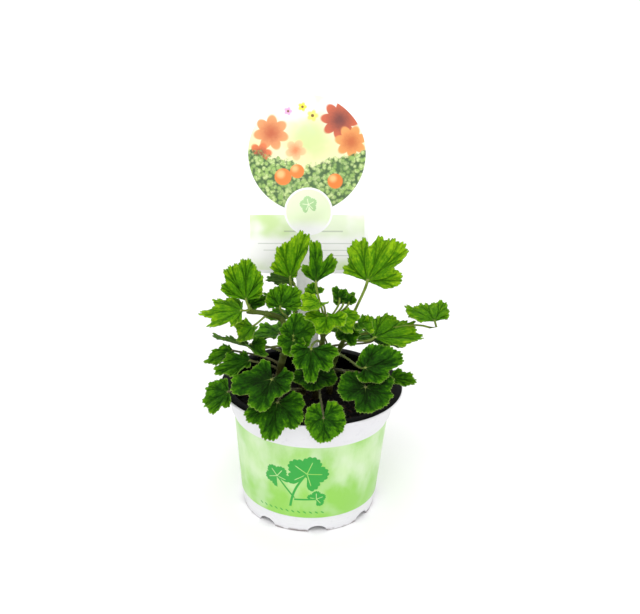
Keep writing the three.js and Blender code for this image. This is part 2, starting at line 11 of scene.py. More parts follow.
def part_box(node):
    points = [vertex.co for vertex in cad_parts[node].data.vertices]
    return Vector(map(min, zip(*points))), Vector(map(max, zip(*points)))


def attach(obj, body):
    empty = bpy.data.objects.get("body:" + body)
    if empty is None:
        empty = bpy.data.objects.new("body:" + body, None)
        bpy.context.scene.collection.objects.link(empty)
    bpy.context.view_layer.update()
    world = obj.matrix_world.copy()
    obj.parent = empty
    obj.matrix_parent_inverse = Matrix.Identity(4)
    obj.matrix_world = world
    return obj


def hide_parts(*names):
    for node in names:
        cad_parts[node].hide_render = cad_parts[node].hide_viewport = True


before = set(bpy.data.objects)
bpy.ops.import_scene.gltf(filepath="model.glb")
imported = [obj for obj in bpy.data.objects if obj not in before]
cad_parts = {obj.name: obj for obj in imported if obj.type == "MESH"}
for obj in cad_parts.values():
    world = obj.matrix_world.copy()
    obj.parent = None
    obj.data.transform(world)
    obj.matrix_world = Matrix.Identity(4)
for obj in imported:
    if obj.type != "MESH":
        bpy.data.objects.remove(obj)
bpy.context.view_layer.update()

# Shapes are modelled in millimetres round the pot's axis, as in the part's source, and are
# scaled and moved into the frame when each piece is finished.
MM = 0.001
pot_low, pot_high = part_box("pot")
POT_AXIS = Vector(((pot_low.x + pot_high.x) / 2, (pot_low.y + pot_high.y) / 2, 0))
INTO_FRAME = Matrix.Translation(POT_AXIS) @ Matrix.Scale(MM, 4)

# Pot
POT_HEIGHT = 93.4
RIM_RADIUS = 64.8
RIM_THICKNESS = 1.6
COLLAR_RADIUS = 57.8
COLLAR_BOTTOM = 76
BAND_TOP = 71.8
BAND_TOP_RADIUS = 55.2
BAND_BOTTOM = 12.4
BAND_BOTTOM_RADIUS = 49.8
FOOT_RADIUS = 47.9
POT_WALL = 1.3
FLOOR_UNDERSIDE = 6.6
ARCH_COUNT = 8
ARCH_TURN = 8.7
ARCH_WIDTH = 14
ARCH_HEIGHT = 5
DRAIN_RADIUS = 4
DRAIN_CIRCLE = 0.72 * FOOT_RADIUS
ROD_SIDES = 32
POT_STEPS = 240
POT_ROUNDING = 0.18
BLACK_RIM_RADIUS = 64
PRINT_RADIUS = 52

# Soil
SOIL_LEVEL = 76
SOIL_GAP = 0.35
SOIL_STEPS = 150
SOIL_RINGS = 56
LUMP_MARGIN = 2.5
# Crumbs, then bark: how many, their range of lengths, and those of their breadth and thickness
# as shares of the length
LUMPS = (
    (900, (0.5, 1.6), (0.6, 1), (0.4, 0.8)),
    (130, (1.2, 3.6), (0.25, 0.5), (0.15, 0.3)),
)

# Label
LABEL_X = -3.4
LABEL_FOOT_Y = 38
LABEL_LEAN = 5
LABEL_TURN = 1.8
LABEL_THICKNESS = 0.9
HEAD_RADIUS = 45.5
HEAD_CENTRE = 171
PANEL_TOP = 129
PANEL_BOTTOM = 84
PANEL_HALF_WIDTH = 44.5
PANEL_CORNER = 13
PANEL_TOP_CORNER = 3
STAKE_HALF_WIDTH = 8
STAKE_DEPTH = 48
STAKE_POINT = 14
STAKE_FILLET = 6
PICTURE_RADIUS = 41.5
MEDALLION_RADIUS = 16
MEDALLION_RING = 1.4
CARD_ROUNDING = 0.12
BACK_RULE_SPACING = 7

# Plant
BLADE_THICKNESS = 0.5
TEETH_PER_LOBE = 3
SMALL_TEETH = 3
SMALL_TOOTH_DEPTH = 0.05
SAMPLES_PER_TOOTH = 9
BLADE_ROWS = 24
BASE_SHORTENING = 0.4
UNEVEN_MARGIN = 0.06
FINELY_UNEVEN_MARGIN = 0.03
RUFFLE = 0.018
CURL = 0.05
PUCKER = 0.35
VEIN_HALF_WIDTH = 0.55
VEIN_GROOVE = 0.5
FORK_DEPTH = 0.28
MINOR_FORK_DEPTH = 0.56
MOST_LOBES = 8
PETIOLE_RADIUS = 0.85
MOST_APPROACH = 8
PETIOLE_SIDES = 8
PETIOLE_SECTIONS = 14
PETIOLE_POINTS = 40
STEM_SIDES = 14
STEM_SECTIONS = 48
ROUTE_POINTS = 16
STEM_DEPTH = 20
STEM_HAIRS = 260
STEM_TAPER = 0.55
JOINT_SWELLING = 0.14
JOINT_LENGTH = 0.018
STIPULE_LENGTH = 3.6
STIPULE_RADIUS = 1.3
STIPULE_FLATNESS = 0.35
HAIR_LENGTH = 0.9
HAIR_RADIUS = 0.045
BLADE_INDEX, STALK_INDEX, HAIR_INDEX = 0, 1, 2

# Camera, as fitted to the pot's rim, band and foot, with the photograph 640 pixels wide
FOCAL_PIXELS = 1000
PHOTO_WIDTH_PIXELS = 640
SENSOR_WIDTH = 36
CAMERA_SPOT = Vector((4, -642, 411))
CAMERA_DROP = 22
CAMERA_ROLL = 0.033

# Studio
WORLD_LIGHT = 1.0
KEY_LIGHT = 0.6
KEY_SOFTNESS = 24
KEY_DIRECTION = Vector((0.14, 0.6, -1))
FILL_LIGHT = 0.35
FILL_SOFTNESS = 50
FILL_DIRECTION = Vector((0.05, 1, -0.42))
FLOOR_REACH = 15000

# The same seed in every run, for the draws and for the noise that roughens the soil
SEED = 11
random.seed(SEED)
noise.seed_set(SEED)


# Shader maths


class Socket:
    """An output of a finish's nodes. Arithmetic on it adds Math nodes."""

    def __init__(self, finish, socket):
        self.finish = finish
        self.socket = socket

    def math(self, operation, *others):
        return self.finish.math(operation, self, *others)

    def __add__(self, other):
        return self.math("ADD", other)

    __radd__ = __add__

    def __sub__(self, other):
        return self.math("SUBTRACT", other)

    def __rsub__(self, other):
        return self.finish.math("SUBTRACT", other, self)

    def __mul__(self, other):
        return self.math("MULTIPLY", other)

    __rmul__ = __mul__

    def __truediv__(self, other):
        return self.math("DIVIDE", other)

    def __rtruediv__(self, other):
        return self.finish.math("DIVIDE", other, self)

    def __pow__(self, other):
        return self.math("POWER", other)

    def __abs__(self):
        return self.math("ABSOLUTE")

    def step(self, low, high):
        """0 below low and 1 above high, or the reverse where low is the larger."""
        settings = {"interpolation_type": "SMOOTHSTEP"}
        inputs = {"Value": self, "From Min": low, "From Max": high}
        return self.finish.node("ShaderNodeMapRange", settings, inputs)

    def between(self, start, end, softness=0.5):
        """1 between a start and an end and 0 beyond them, with soft ends."""
        return self.step(start, start + softness) * self.step(end, end - softness)


def strongest(value, *others):
    """The highest of several values at each place."""
    for other in others:
        value = value.math("MAXIMUM", other)
    return value


def tint(red, green, blue):
    """A colour as the eye names it, 0 to 255, in the shader's linear values."""
    linear = []
    for level in (red, green, blue):
        share = level / 255
        linear.append(share / 12.92 if share <= 0.04045 else ((share + 0.055) / 1.055) ** 2.4)
    return (*linear, 1)


class Finish:
    """A procedural material, built node by node. Its place is the one on the piece, in
    millimetres round a spot of the frame."""

    def __init__(self, name, constants, spot=POT_AXIS, turn=(0, 0, 0)):
        self.material = bpy.data.materials.new(name)
        self.material.use_nodes = True
        self.tree = self.material.node_tree
        self.shader = self.tree.nodes["Principled BSDF"]
        for socket, value in constants.items():
            self.shader.inputs[socket].default_value = value
        place = self.node("ShaderNodeTexCoord", {}, {}, output="Object")
        inputs = {"Vector": place, "Location": spot, "Rotation": turn, "Scale": (MM, MM, MM)}
        self.place = self.node("ShaderNodeMapping", {"vector_type": "TEXTURE"}, inputs)

    def node(self, kind, settings, inputs, output=0):
        """Adds a node: its settings first, then the values or links of its sockets."""
        made = self.tree.nodes.new(kind)
        for setting, value in settings.items():
            setattr(made, setting, value)
        for socket, value in inputs.items():
            self.feed(made.inputs[socket], value)
        return Socket(self, made.outputs[output])

    def feed(self, socket, value):
        if isinstance(value, Socket):
            self.tree.links.new(value.socket, socket)
        else:
            socket.default_value = value

    def math(self, operation, *values):
        return self.node("ShaderNodeMath", {"operation": operation}, dict(enumerate(values)))

    def mix(self, share, first, second):
        """First colour at 0, second at 1."""
        settings = {"data_type": "RGBA"}
        return self.node("ShaderNodeMix", settings, {0: share, 6: first, 7: second}, output=2)

    def axes(self, vector):
        parts = self.node("ShaderNodeSeparateXYZ", {}, {0: vector})
        return [Socket(self, output) for output in parts.socket.node.outputs]

    def noise(self, size, detail=2.0, roughness=0.5, stretch=(1, 1, 1), vector=None):
        """Soft noise from 0 to 1 whose lumps are about a size across."""
        inputs = {"Vector": vector or self.place, "Scale": stretch}
        scaled = self.node("ShaderNodeMapping", {}, inputs)
        inputs = {"Vector": scaled, "Scale": 1 / size, "Detail": detail, "Roughness": roughness}
        return self.node("ShaderNodeTexNoise", {}, inputs)

    def cells(self, size, feature="F1"):
        inputs = {"Vector": self.place, "Scale": 1 / size}
        return self.node("ShaderNodeTexVoronoi", {"feature": feature}, inputs, output="Distance")

    def attribute(self, name):
        return self.node("ShaderNodeAttribute", {"attribute_name": name}, {}, output="Fac")

    def colour(self, value):
        self.feed(self.shader.inputs["Base Color"], value)

    def roughness(self, value):
        self.feed(self.shader.inputs["Roughness"], value)

    def relief(self, height, depth):
        """Height from 0 to 1 raises the surface by up to a depth in millimetres."""
        inputs = {"Height": height, "Distance": depth * MM, "Strength": 1.0}
        self.feed(self.shader.inputs["Normal"], self.node("ShaderNodeBump", {}, inputs))


# Prints


def spot_distance(x, y, centre):
    """Distance of a place on a print from a spot of it."""
    across = x - centre[0]
    up = y - centre[1]
    return (across * across + up * up) ** 0.5


def disc(x, y, centre, radius, softness=0.3):
    return spot_distance(x, y, centre).step(radius + softness, radius - softness)


def blossom(x, y, centre, radius, petals, turn=0.0, softness=0.4):
    """A flower's outline: round petals with notches between them."""
    angle = (y - centre[1]).math("ARCTAN2", x - centre[0])
    wave = abs(((angle + turn) * (petals / 2)).math("COSINE"))
    edge = spot_distance(x, y, centre) / (wave * 0.32 + 0.68)
    return edge.step(radius + softness, radius - softness)


def printed_leaf(x, y, centre, radius, turn):
    """A scalloped, lobed leaf with fine unprinted veins, its base at the bottom when turn is 0."""
    angle = (x - centre[0]).math("ARCTAN2", y - centre[1]) + turn
    distance = spot_distance(x, y, centre)
    lobes = abs((angle * 2.5).math("COSINE"))
    teeth = abs((angle * 12.5).math("COSINE"))
    notch = abs(angle).step(3.05, 2.6)
    outline = (lobes * 0.2 + teeth * 0.07 + 0.73) * (notch * 0.75 + 0.25) * radius
    shape = (distance - outline).step(0.2, -0.2)
    across_vein = abs((angle * 2.5).math("SINE")) * distance
    vein = across_vein.step(0.5, 0.9) + distance.step(radius * 0.62, radius * 0.72)
    return shape * vein.math("MINIMUM", 1.0)


def stroke(across, along, start, end, half_width):
    """A line on a print, from how far a place is across it and along it."""
    return abs(across).step(half_width + 0.4, half_width) * along.between(start, end)


# Pot


def wall_radius(height):
    """Outer radius of the pot's body at a height."""
    share = (height - BAND_BOTTOM) / (BAND_TOP - BAND_BOTTOM)
    return BAND_BOTTOM_RADIUS + (BAND_TOP_RADIUS - BAND_BOTTOM_RADIUS) * share


def pot_profile():
    """The wall's outline, from the middle drain hole out, up, over the rim and down to the foot."""
    inner_floor = FLOOR_UNDERSIDE + POT_WALL
    rim_underside = POT_HEIGHT - RIM_THICKNESS
    return [
        (DRAIN_RADIUS, inner_floor),
        (wall_radius(inner_floor) - POT_WALL - 2, inner_floor),
        (wall_radius(inner_floor + 2) - POT_WALL, inner_floor + 2),
        (wall_radius(COLLAR_BOTTOM) - POT_WALL, COLLAR_BOTTOM - 0.6),
        (COLLAR_RADIUS - POT_WALL, COLLAR_BOTTOM + 1),
        (COLLAR_RADIUS - 0.9, POT_HEIGHT - 1.2),
        (COLLAR_RADIUS + 0.3, POT_HEIGHT),
        (RIM_RADIUS - 0.4, POT_HEIGHT),
        (RIM_RADIUS, POT_HEIGHT - 0.5),
        (RIM_RADIUS, rim_underside),
        (COLLAR_RADIUS + 0.6, rim_underside),
        (COLLAR_RADIUS, rim_underside - 0.8),
        (COLLAR_RADIUS - 0.4, COLLAR_BOTTOM),
        (wall_radius(COLLAR_BOTTOM), COLLAR_BOTTOM - 0.6),
        (BAND_TOP_RADIUS, BAND_TOP),
        (BAND_BOTTOM_RADIUS, BAND_BOTTOM),
        (BAND_BOTTOM_RADIUS - 0.7, BAND_BOTTOM - 0.7),
        (FOOT_RADIUS + 0.6, FLOOR_UNDERSIDE + 0.4),
        (FOOT_RADIUS, 0),
        (FOOT_RADIUS - 2, 0),
        (FOOT_RADIUS - POT_WALL, FLOOR_UNDERSIDE),
        (DRAIN_RADIUS, FLOOR_UNDERSIDE),
    ]


def spin(bm, outline, steps, closed):
    """Turns an outline of radii and heights round the pot's axis into a body."""
    points = [bm.verts.new((radius, 0, height)) for radius, height in outline]
    following = points[1:] + points[:1] if closed else points[1:]
    lines = [bm.edges.new(pair) for pair in zip(points, following)]
    bmesh.ops.spin(
        bm, geom=points + lines, cent=(0, 0, 0), axis=(0, 0, 1), steps=steps, angle=math.tau,
        use_merge=True,
    )
    bmesh.ops.remove_doubles(bm, verts=bm.verts, dist=0.001)
    bmesh.ops.recalc_face_normals(bm, faces=bm.faces)


def soften(bm, offset, least_angle):
    """Rounds the edges that turn by more than an angle in degrees."""
    least = math.radians(least_angle)
    sharp = [edge for edge in bm.edges if edge.is_manifold and edge.calc_face_angle() > least]
    bmesh.ops.bevel(
        bm, geom=sharp, offset=offset, offset_type="OFFSET", segments=2, profile=0.5,
        affect="EDGES", material=-1, clamp_overlap=True,
    )


def smooth_faces(bm, crease=25):
    """Smooth shading, apart from edges that turn by more than an angle in degrees."""
    for face in bm.faces:
        face.smooth = True
    for edge in bm.edges:
        if edge.is_manifold:
            edge.smooth = edge.calc_face_angle() < math.radians(crease)


def is_black_side(face):
    """The inside of the pot and the top of its rim, where the sheet's black layer shows."""
    middle = face.calc_center_median()
    radius = math.hypot(middle.x, middle.y)
    outward = (face.normal.x * middle.x + face.normal.y * middle.y) / max(radius, 1)
    inside = outward < -0.2 and middle.z > FLOOR_UNDERSIDE + 0.5
    return inside or (face.normal.z > 0.5 and radius < BLACK_RIM_RADIUS)


def pot_shape():
    bm = bmesh.new()
    spin(bm, pot_profile(), POT_STEPS, closed=True)
    soften(bm, offset=POT_ROUNDING, least_angle=35)
    for face in bm.faces:
        face.material_index = int(is_black_side(face))
    smooth_faces(bm)
    return bm


def pot_openings():
    """The rods that cut the foot's arches and the drain holes."""
    bm = bmesh.new()
    flatten = Matrix.Diagonal((ARCH_WIDTH / 2, 1, ARCH_HEIGHT, 1))
    arch = Matrix.Translation((0, -FOOT_RADIUS, 0)) @ flatten
    lie_down = Matrix.Rotation(math.radians(90), 4, "X")
    drain = Matrix.Translation((0, -DRAIN_CIRCLE, FLOOR_UNDERSIDE))
    for index in range(ARCH_COUNT):
        turn = Matrix.Rotation(math.radians(ARCH_TURN + index * 360 / ARCH_COUNT), 4, "Z")
        # Their radius, length and place. An arch's place stretches its rod to size.
        rods = ((1, 12, turn @ arch @ lie_down), (DRAIN_RADIUS, 6, turn @ drain))
        for radius, length, place in rods:
            bmesh.ops.create_cone(
                bm, cap_ends=True, segments=ROD_SIDES, radius1=radius, radius2=radius,
                depth=length, matrix=place,
            )
    return bm


def pot_white_finish():
    """Satin white plastic with a band of printed pale green washes and a leafy motif."""
    finish = Finish("printed_white_plastic", {"Coat Weight": 0.25, "Coat Roughness": 0.2})
    x, y, z = finish.axes(finish.place)
    along = x.math("ARCTAN2", 0 - y) * PRINT_RADIUS
    broad = finish.noise(34, detail=1.5)
    streaks = finish.noise(15, detail=4, roughness=0.6, stretch=(1, 1, 0.45))
    fine = finish.noise(4.5, detail=5, roughness=0.7)
    wash = broad * 1.1 + streaks * 0.55 + fine * 0.12
    low = z.step(52, 16) * 0.3
    green = (wash + low).step(0.62, 1.16)
    print_colour = finish.mix(green, tint(200, 226, 174), tint(140, 202, 74))
    haze = finish.noise(22, detail=2).step(0.5, 0.75)
    print_colour = finish.mix(haze * 0.35, print_colour, tint(222, 230, 214))
    print_colour = finish.mix(printed_motif(along, z), print_colour, tint(22, 158, 44))
    scuff = finish.noise(6, detail=5, roughness=0.7).step(0.55, 0.8)
    plastic = finish.mix(scuff, tint(224, 223, 227), tint(210, 208, 214))
    # Partly grime and partly painted shade: patchy darkening up to 2.6 mm over the floor, and a
    # dark band along the very bottom edge painted as the contact shadow.
    grime_and_contact_shade = z.step(2.6, 0.6) * finish.noise(9, detail=4).step(0.42, 0.6)
    grime_and_contact_shade = (grime_and_contact_shade + z.step(1.1, 0.4) * 0.6).math("MINIMUM", 1.0)
    plastic = finish.mix(grime_and_contact_shade * 0.8, plastic, tint(92, 76, 70))
    # Painted shade: a grey line under the collar's overhanging step, where shade falls.
    collar_step_shade = abs(z - (COLLAR_BOTTOM - 0.4)).step(0.45, 0.1)
    plastic = finish.mix(collar_step_shade * 0.55, plastic, tint(148, 146, 152))
    band = z.between(BAND_BOTTOM + 0.1, BAND_TOP - 0.1, softness=0.4)
    finish.colour(finish.mix(band, plastic, print_colour))
    finish.roughness(scuff * 0.12 + 0.34)
    ribs = (z * (math.tau / 2.4)).math("SINE") * z.step(BAND_BOTTOM, BAND_BOTTOM - 1)
    finish.relief(ribs * 0.3 + fine * 0.35 + band * 0.3, 0.16)
    return finish.material


def printed_motif(along, height):
    """Three lobed leaves on thin stalks, and a row of small leaf marks under them."""
    rise = height - 22
    bend = (rise * (math.pi / 28)).math("SINE") * 2.2
    spacing = 4.3
    beside = ((along / spacing).math("FRACT") - 0.5) * spacing
    tilt = beside * 0.55 + (height - 17.4)
    small_leaf = ((beside * beside * 0.5 + tilt * tilt * 1.8) ** 0.5).step(1.0, 0.7)
    return strongest(
        printed_leaf(along, height, (-1, 50), 15, -0.35),
        printed_leaf(along, height, (-22, 45), 9.5, 0.65),
        printed_leaf(along, height, (6, 29), 7, -1.2),
        stroke(along - (rise * 0.4 - 12.5 - bend), height, 21.5, 50, 0.7),
        stroke(along + 9.5 + (height - 29) * 0.78, height, 29, 45, 0.6),
        stroke(height - 28 - (along + 9) * 0.06, along, -10, 6, 0.5),
        small_leaf * along.between(-39, 13.5) * 0.85,
    )


def pot_black_finish():
    """The sheet's black inner layer, a little dusty with potting mix."""
    finish = Finish("black_plastic_layer", {"Specular IOR Level": 0.03})
    dust = finish.noise(7, detail=6, roughness=0.75).step(0.5, 0.78)
    finish.colour(finish.mix(dust, tint(3, 3, 4), tint(14, 13, 13)))
    finish.roughness(dust * 0.35 + 0.4)
    finish.relief(finish.noise(1.6, detail=3), 0.1)
    return finish.material


def build_pot():
    finishes = [pot_white_finish(), pot_black_finish()]
    piece = place_piece(pot_shape(), "nursery_pot", finishes, "pot")
    cutter = mesh_object(pot_openings(), "pot_openings")
    cut = piece.modifiers.new("openings", "BOOLEAN")
    cut.operation = "DIFFERENCE"
    cut.solver = "EXACT"
    cut.object = cutter
    shape = piece.evaluated_get(bpy.context.evaluated_depsgraph_get())
    piece.data = bpy.data.meshes.new_from_object(shape)
    piece.modifiers.clear()
    bpy.data.objects.remove(cutter)


# Soil


def soil_height(x, y):
    """Uneven top of the potting mix: broad humps with lumps on them."""
    spot = Vector((x, y, 0))
    broad = noise.noise(spot / 23)
    lumps = noise.noise(spot / 6 + Vector((9, 0, 0)))
    grains = noise.noise(spot / 2.1)
    return SOIL_LEVEL + 1.1 * broad + 0.9 * lumps + 0.5 * grains


def soil_bed(bm):
    """The mix as one body that fills the pot, with a rough top."""
    inner = wall_radius(SOIL_LEVEL) - POT_WALL - SOIL_GAP
    foot = FLOOR_UNDERSIDE + POT_WALL + SOIL_GAP
    foot_radius = wall_radius(foot) - POT_WALL - 2 - SOIL_GAP
    outline = [(inner * index / SOIL_RINGS, SOIL_LEVEL) for index in range(SOIL_RINGS + 1)]
    outline += [(foot_radius, foot), (0, foot)]
    spin(bm, outline, SOIL_STEPS, closed=False)
    for vert in bm.verts:
        if vert.co.z > SOIL_LEVEL - 1:
            vert.co.z = soil_height(vert.co.x, vert.co.y)


def use_finish(made, finish_index):
    """Gives the faces that an operator has made one of their piece's finishes."""
    for face in {face for vert in made["verts"] for face in vert.link_faces}:
        face.material_index = finish_index


def lump(bm, spot, sizes, finish_index):
    """One angular lump lying on the mix."""
    turn = Matrix.Rotation(random.uniform(0, math.tau), 4, "Z")
    turn = turn @ Matrix.Rotation(random.uniform(-0.5, 0.5), 4, "X")
    place = Matrix.Translation(spot) @ turn @ Matrix.Diagonal((*sizes, 1))
    made = bmesh.ops.create_icosphere(bm, subdivisions=1, radius=1, matrix=place)
    for vert in made["verts"]:
        vert.co += noise.noise_vector(vert.co / 1.3) * min(sizes) * 0.5
    use_finish(made, finish_index)


def random_spot_on_soil(reach):
    angle = random.uniform(0, math.tau)
    radius = reach * math.sqrt(random.random())
    x = radius * math.cos(angle)
    y = radius * math.sin(angle)
    return Vector((x, y, soil_height(x, y)))


def build_soil():
    bm = bmesh.new()
    soil_bed(bm)
    reach = wall_radius(SOIL_LEVEL) - POT_WALL - LUMP_MARGIN
    for finish_index, (count, lengths, breadths, thicknesses) in enumerate(LUMPS):
        for _ in range(count):
            length = random.uniform(*lengths)
            breadth = length * random.uniform(*breadths)
            thickness = length * random.uniform(*thicknesses)
            lump(bm, random_spot_on_soil(reach), (length, breadth, thickness), finish_index)
    for face in bm.faces:
        face.smooth = False
    place_piece(bm, "potting_mix", [soil_finish(), bark_finish()], "soil")


def soil_finish():
    finish = Finish("damp_potting_mix", {"Specular IOR Level": 0.15})
    patches = finish.noise(8, detail=4, roughness=0.65)
    grains = finish.noise(0.9, detail=4, roughness=0.8)
    shade = (patches * 0.6 + grains * 0.6).step(0.42, 0.85)
    finish.colour(finish.mix(shade, tint(4, 4, 5), tint(22, 15, 12)))
    finish.roughness(grains * 0.25 + 0.68)
    finish.relief(grains, 0.5)
    return finish.material


def bark_finish():
    finish = Finish("bark_chips", {"Specular IOR Level": 0.2})
    kind = finish.noise(6, detail=1)
    fibres = finish.noise(1.2, detail=5, roughness=0.7, stretch=(1, 0.25, 0.25))
    wood = finish.mix(kind.step(0.4, 0.62), tint(26, 15, 11), tint(66, 38, 26))
    finish.colour(finish.mix(fibres * 0.5, wood, tint(30, 18, 14)))
    finish.roughness(fibres * 0.2 + 0.7)
    finish.relief(fibres, 0.3)
    return finish.material


# Label


def arc(centre, radius, start, end, pieces):
    """Points along an arc, its angles in degrees."""
    points = []
    for index in range(pieces + 1):
        angle = math.radians(start + (end - start) * index / pieces)
        points.append((centre[0] + radius * math.cos(angle), centre[1] + radius * math.sin(angle)))
    return points


def right_half_outline():
    """The label's right side from the stake's tip up to the top of its round head."""
    waist = math.degrees(math.asin((PANEL_TOP - HEAD_CENTRE) / HEAD_RADIUS))
    fillet = (STAKE_HALF_WIDTH + STAKE_FILLET, PANEL_BOTTOM - STAKE_FILLET)
    corner = (PANEL_HALF_WIDTH - PANEL_CORNER, PANEL_BOTTOM + PANEL_CORNER)
    top_corner = (PANEL_HALF_WIDTH - PANEL_TOP_CORNER, PANEL_TOP - PANEL_TOP_CORNER)
    points = [(0, -STAKE_DEPTH), (STAKE_HALF_WIDTH, STAKE_POINT - STAKE_DEPTH)]
    points += arc(fillet, STAKE_FILLET, 180, 90, 6)
    points += arc(corner, PANEL_CORNER, -90, 0, 12)
    points += arc(top_corner, PANEL_TOP_CORNER, 0, 90, 5)
    points += arc((0, HEAD_CENTRE), HEAD_RADIUS, waist, 90, 48)
    return points


def label_matrix():
    """From the label's own plane to its place in the soil."""
    stand_up = Matrix.Rotation(math.radians(90 - LABEL_LEAN), 4, "X")
    stand_up = stand_up @ Matrix.Rotation(math.radians(LABEL_TURN), 4, "Z")
    return Matrix.Translation((LABEL_X, LABEL_FOOT_Y, SOIL_LEVEL)) @ stand_up


def build_label():
    bm = bmesh.new()
    right = right_half_outline()
    left = [(-x, y) for x, y in reversed(right[1:-1])]
    card = bm.faces.new([bm.verts.new((x, y, 0)) for x, y in right + left])
    grown = bmesh.ops.extrude_face_region(bm, geom=[card])
    lifted = [part for part in grown["geom"] if isinstance(part, bmesh.types.BMVert)]
    bmesh.ops.translate(bm, verts=lifted, vec=(0, 0, LABEL_THICKNESS))
    bmesh.ops.recalc_face_normals(bm, faces=bm.faces)
    soften(bm, offset=CARD_ROUNDING, least_angle=60)
    smooth_faces(bm)
    bmesh.ops.transform(bm, matrix=label_matrix(), verts=bm.verts)
    place_piece(bm, "printed_label", [label_finish()], "plant_label")


def garden_picture(finish, x, y):
    """A soft-focus flower bed: a bright sky, large warm blossoms, and mottled leaves below."""
    mottle = finish.noise(2.4, detail=4, roughness=0.7)
    soft = finish.noise(14, detail=2)
    sky = finish.mix(y.step(34, 4), tint(255, 255, 250), tint(236, 240, 178))
    picture = finish.mix(soft.step(0.42, 0.62) * 0.7, sky, tint(251, 238, 196))
    haze = disc(x, y, (2, 12), 13, softness=8)
    picture = finish.mix(haze * 0.6, picture, tint(186, 220, 120))
    glows = (
        ((-3, 33), 3.2, (250, 232, 60)),
        ((4, 27), 4.0, (246, 238, 110)),
        ((-13, 30), 3.0, (236, 170, 214)),
    )
    for centre, radius, colour in glows:
        glow = blossom(x, y, centre, radius, 5, softness=0.9)
        picture = finish.mix(glow, picture, tint(*colour))
        picture = finish.mix(disc(x, y, centre, radius * 0.28), picture, tint(120, 84, 20))
    blooms = (
        ((-25, 15), 12.5, 7, 0.3, (236, 158, 96), (196, 92, 42)),
        ((-33, 0), 8.5, 6, 0.9, (228, 120, 62), (150, 52, 24)),
        ((23, 24), 13.5, 8, 0.1, (206, 92, 50), (118, 40, 24)),
        ((31, 9), 11.5, 7, 0.6, (240, 160, 84), (204, 104, 44)),
        ((-8, 3), 7.5, 5, 0.2, (250, 196, 140), (226, 130, 70)),
    )
    for centre, radius, petals, turn, rim, heart in blooms:
        distance = spot_distance(x, y, centre)
        shade = (distance + mottle * 5).step(radius + 1.5, radius * 0.1 + 1.5)
        petal = finish.mix(shade, tint(*rim), tint(*heart))
        shape = blossom(x, y, centre, radius, petals, turn, softness=1.1)
        picture = finish.mix(shape, picture, petal)
    lemon = disc(x, y, (34, -9), 8, softness=2.5)
    picture = finish.mix(lemon, picture, tint(246, 226, 70))
    ragged = finish.noise(5, detail=3, roughness=0.7) * 16
    hedge = (y + ragged - abs(x) * 0.28).step(0.5, -2.5)
    sprigs = (finish.cells(2.7) + mottle * 0.35 - 0.17).step(0.3, 0.8)
    leaves = finish.mix(sprigs, tint(150, 188, 92), tint(62, 98, 44))
    bright = finish.noise(3.4, detail=5, roughness=0.75).step(0.46, 0.58)
    leaves = finish.mix(bright * (1 - sprigs) * 0.8, leaves, tint(216, 232, 160))
    shade = finish.noise(11, detail=3).step(0.45, 0.65)
    leaves = finish.mix(shade * 0.3, leaves, tint(84, 130, 60))
    picture = finish.mix(hedge, picture, leaves)
    for centre, radius in (((-17, -16), 6.0), ((-7, -12), 5.0), ((20, -19), 5.4)):
        lit = disc(x, y, (centre[0] - 1.6, centre[1] + 1.9), radius * 0.45, softness=1.6)
        peel = finish.mix(lit * 0.7, tint(240, 128, 32), tint(255, 214, 140))
        picture = finish.mix(disc(x, y, centre, radius, softness=0.35), picture, peel)
    return picture


def panel_print(finish, x, y):
    """Pale green washes, fading to white, with a few thin ruled lines."""
    cloud = finish.noise(22, detail=2)
    left = x.step(10, -30) * 0.5 + 0.5
    top_band = y.step(107, 115) * left
    low_band = y.step(98, 88) * (x.step(5, 34) * 0.5 + 0.4)
    green = (top_band + low_band) * cloud.step(0.25, 0.6)
    print_colour = finish.mix(green.math("MINIMUM", 1.0), tint(255, 255, 252), tint(208, 234, 164))
    rules = (
        (115.5, -17, 26, 0.5),
        (106.5, -36, 36, 0.28),
        (101.5, -32, 30, 0.28),
        (97.5, 14, 34, 0.28),
    )
    for height, start, end, weight in rules:
        line = abs(y - height).step(weight + 0.15, weight - 0.15) * x.between(start, end)
        print_colour = finish.mix(line * 0.5, print_colour, tint(150, 160, 142))
    return print_colour


def back_print(x, y, from_head):
    """On the card's back: a thin ring round the head, a leaf mark, and ruled lines on the panel."""
    ring = abs(spot_distance(x, from_head, (0, 0)) - PICTURE_RADIUS).step(0.5, 0.3)
    ring = ring * y.step(PANEL_TOP + 4, PANEL_TOP + 5)
    row = abs(((y - PANEL_BOTTOM) / BACK_RULE_SPACING).math("FRACT") - 0.5) * BACK_RULE_SPACING
    rules = row.step(0.35, 0.2) * abs(x).step(PANEL_HALF_WIDTH - 12, PANEL_HALF_WIDTH - 12.5)
    rules = rules * y.between(PANEL_BOTTOM + 7, PANEL_TOP - 8)
    leaf_mark = printed_leaf(x, from_head, (0, 4), 15, 0.3)
    return strongest(ring, rules * 0.6, leaf_mark * 0.5)


